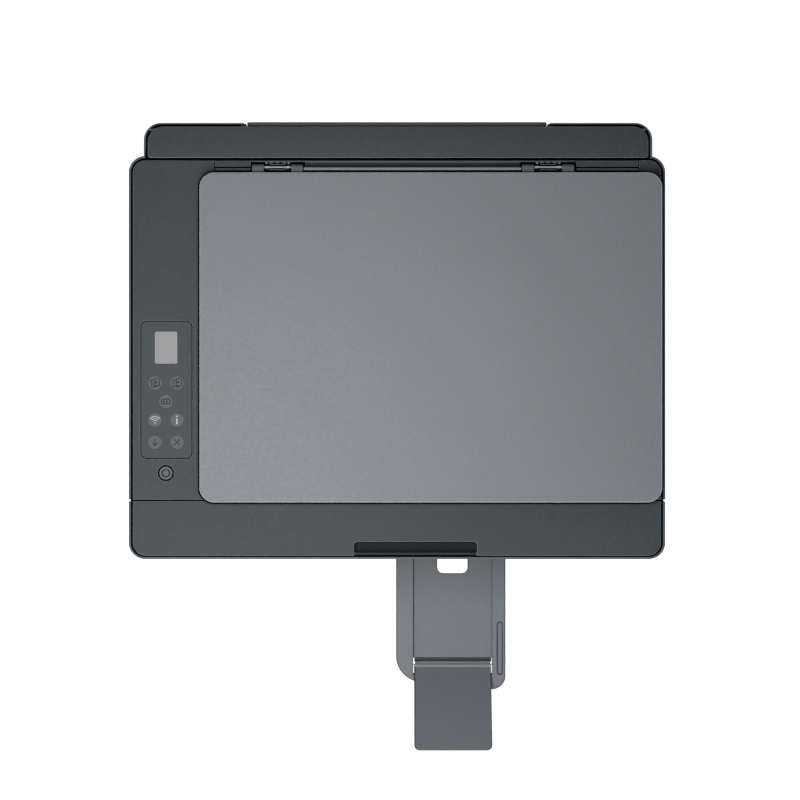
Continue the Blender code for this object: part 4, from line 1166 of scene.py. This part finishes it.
LOOKS = {
    "base_tray": INNER,
    "scanner_tub": DARK,
    "scanner_glass": GLASS,
    "scan_bar": INNER,
    "power_module": INNER,
    "logic_board": BOARD,
    "carriage_beam": STEEL,
    "platen": INNER,
    "paper_ramp": INNER,
    "ink_tank_black": TANK_BLACK,
    "ink_tank_color": TANK_COLOR,
    "feed_motor": STEEL,
    "carriage_motor": STEEL,
    "drive_belt": RUBBER,
    "motor_pulley": ACETAL,
    "idler_pulley": ACETAL,
    "motor_pinion": ACETAL,
    "paper_guide_left": TRAY,
    "paper_guide_right": TRAY,
    "carriage": INNER,
    "printhead_black": DARK,
    "printhead_color": PANEL,
    "feed_roller": RUBBER,
    "feed_gear": ACETAL,
    "idler_gear": ACETAL,
    "eject_roller": RUBBER,
    "eject_gear": ACETAL,
    "cap_black": CAPS["black"],
    "cap_cyan": CAPS["cyan"],
    "cap_magenta": CAPS["magenta"],
    "cap_yellow": CAPS["yellow"],
}
ROUNDING = {"scanner_glass": 0.15, "logic_board": 0.1, "carriage_beam": 0.2, "drive_belt": 0.15, "base_tray": 0.25}
for name, mat in LOOKS.items():
    node = frame["nodes"][name]
    if node.hide_render:
        continue
    if not node.material_slots:
        node.data.materials.append(mat)
    for slot in node.material_slots:
        slot.material = mat
    weld = node.modifiers.new("weld", "WELD")
    weld.merge_threshold = 2e-6
    rounding = node.modifiers.new("edges", "BEVEL")
    rounding.width = ROUNDING.get(name, 0.3) * MM
    rounding.segments = 2
    rounding.limit_method = "ANGLE"
    rounding.angle_limit = math.radians(38)
    rounding.harden_normals = True
    rounding.use_clamp_overlap = True

# ---------------------------------------------------------------- floor, light and camera

ground = bmesh.new()
bmesh.ops.create_grid(ground, x_segments=1, y_segments=1, size=6.0)
mesh = bpy.data.meshes.new("floor")
ground.to_mesh(mesh)
ground.free()
floor = bpy.data.objects.new("floor", mesh)
bpy.context.scene.collection.objects.link(floor)
made, tree, shader = new_material("floor_white")
shader.inputs["Base Color"].default_value = (0.72, 0.72, 0.72, 1)
shader.inputs["Roughness"].default_value = 0.9
shader.inputs["Specular IOR Level"].default_value = 0.0
shader.inputs["Emission Color"].default_value = (1, 1, 1, 1)
shader.inputs["Emission Strength"].default_value = 1.0
floor.data.materials.append(made)


def area_light(name, place, target, size, power, colour=(1, 1, 1)):
    data = bpy.data.lights.new(name, "AREA")
    data.shape = "RECTANGLE"
    data.size, data.size_y = size
    data.energy = power
    data.color = colour
    made = bpy.data.objects.new(name, data)
    made.location = place
    made.rotation_mode = "QUATERNION"
    made.rotation_quaternion = (Vector(target) - Vector(place)).to_track_quat("-Z", "Y")
    made.visible_camera = False
    bpy.context.scene.collection.objects.link(made)
    return made


area_light("key", (-0.15, -0.55, 1.00), (-0.1, -0.1, 0.15), (0.5, 0.5), 5.8)
area_light("overhead", (-0.15, 0.0, 0.80), (-0.1, 0.0, 0.15), (0.3, 0.3), 2.95)

world = bpy.data.worlds.new("studio")
bpy.context.scene.world = world
world.use_nodes = True
tree = world.node_tree
background = tree.nodes["Background"]
direction = add(tree, "ShaderNodeTexCoord").outputs["Generated"]
height = add(tree, "ShaderNodeSeparateXYZ", [("Vector", direction)]).outputs["Z"]
sky = spread(tree, height, 1.11, 0.166, 0.0, 0.6)
tree.links.new(sky, background.inputs["Strength"])
background.inputs["Color"].default_value = (0.97, 0.985, 1.0, 1)

camera = bpy.data.cameras.new("camera")
camera.sensor_width = 36.0
camera.lens = 200.0
eye = bpy.data.objects.new("camera", camera)
bpy.context.scene.collection.objects.link(eye)
eye.location = (0.00247, (129.03 + FRONT) * MM, 0.147 + 0.6484 / 2 / (18.0 / 200.0))
eye.rotation_euler = (0, 0, 0)
camera.clip_start, camera.clip_end = 0.1, 50.0
bpy.context.scene.camera = eye
bpy.context.scene.view_settings.view_transform = "Standard"
bpy.context.scene.view_settings.look = "None"
bpy.context.scene.view_settings.exposure = 0.0
bpy.context.scene.view_settings.gamma = 1.0
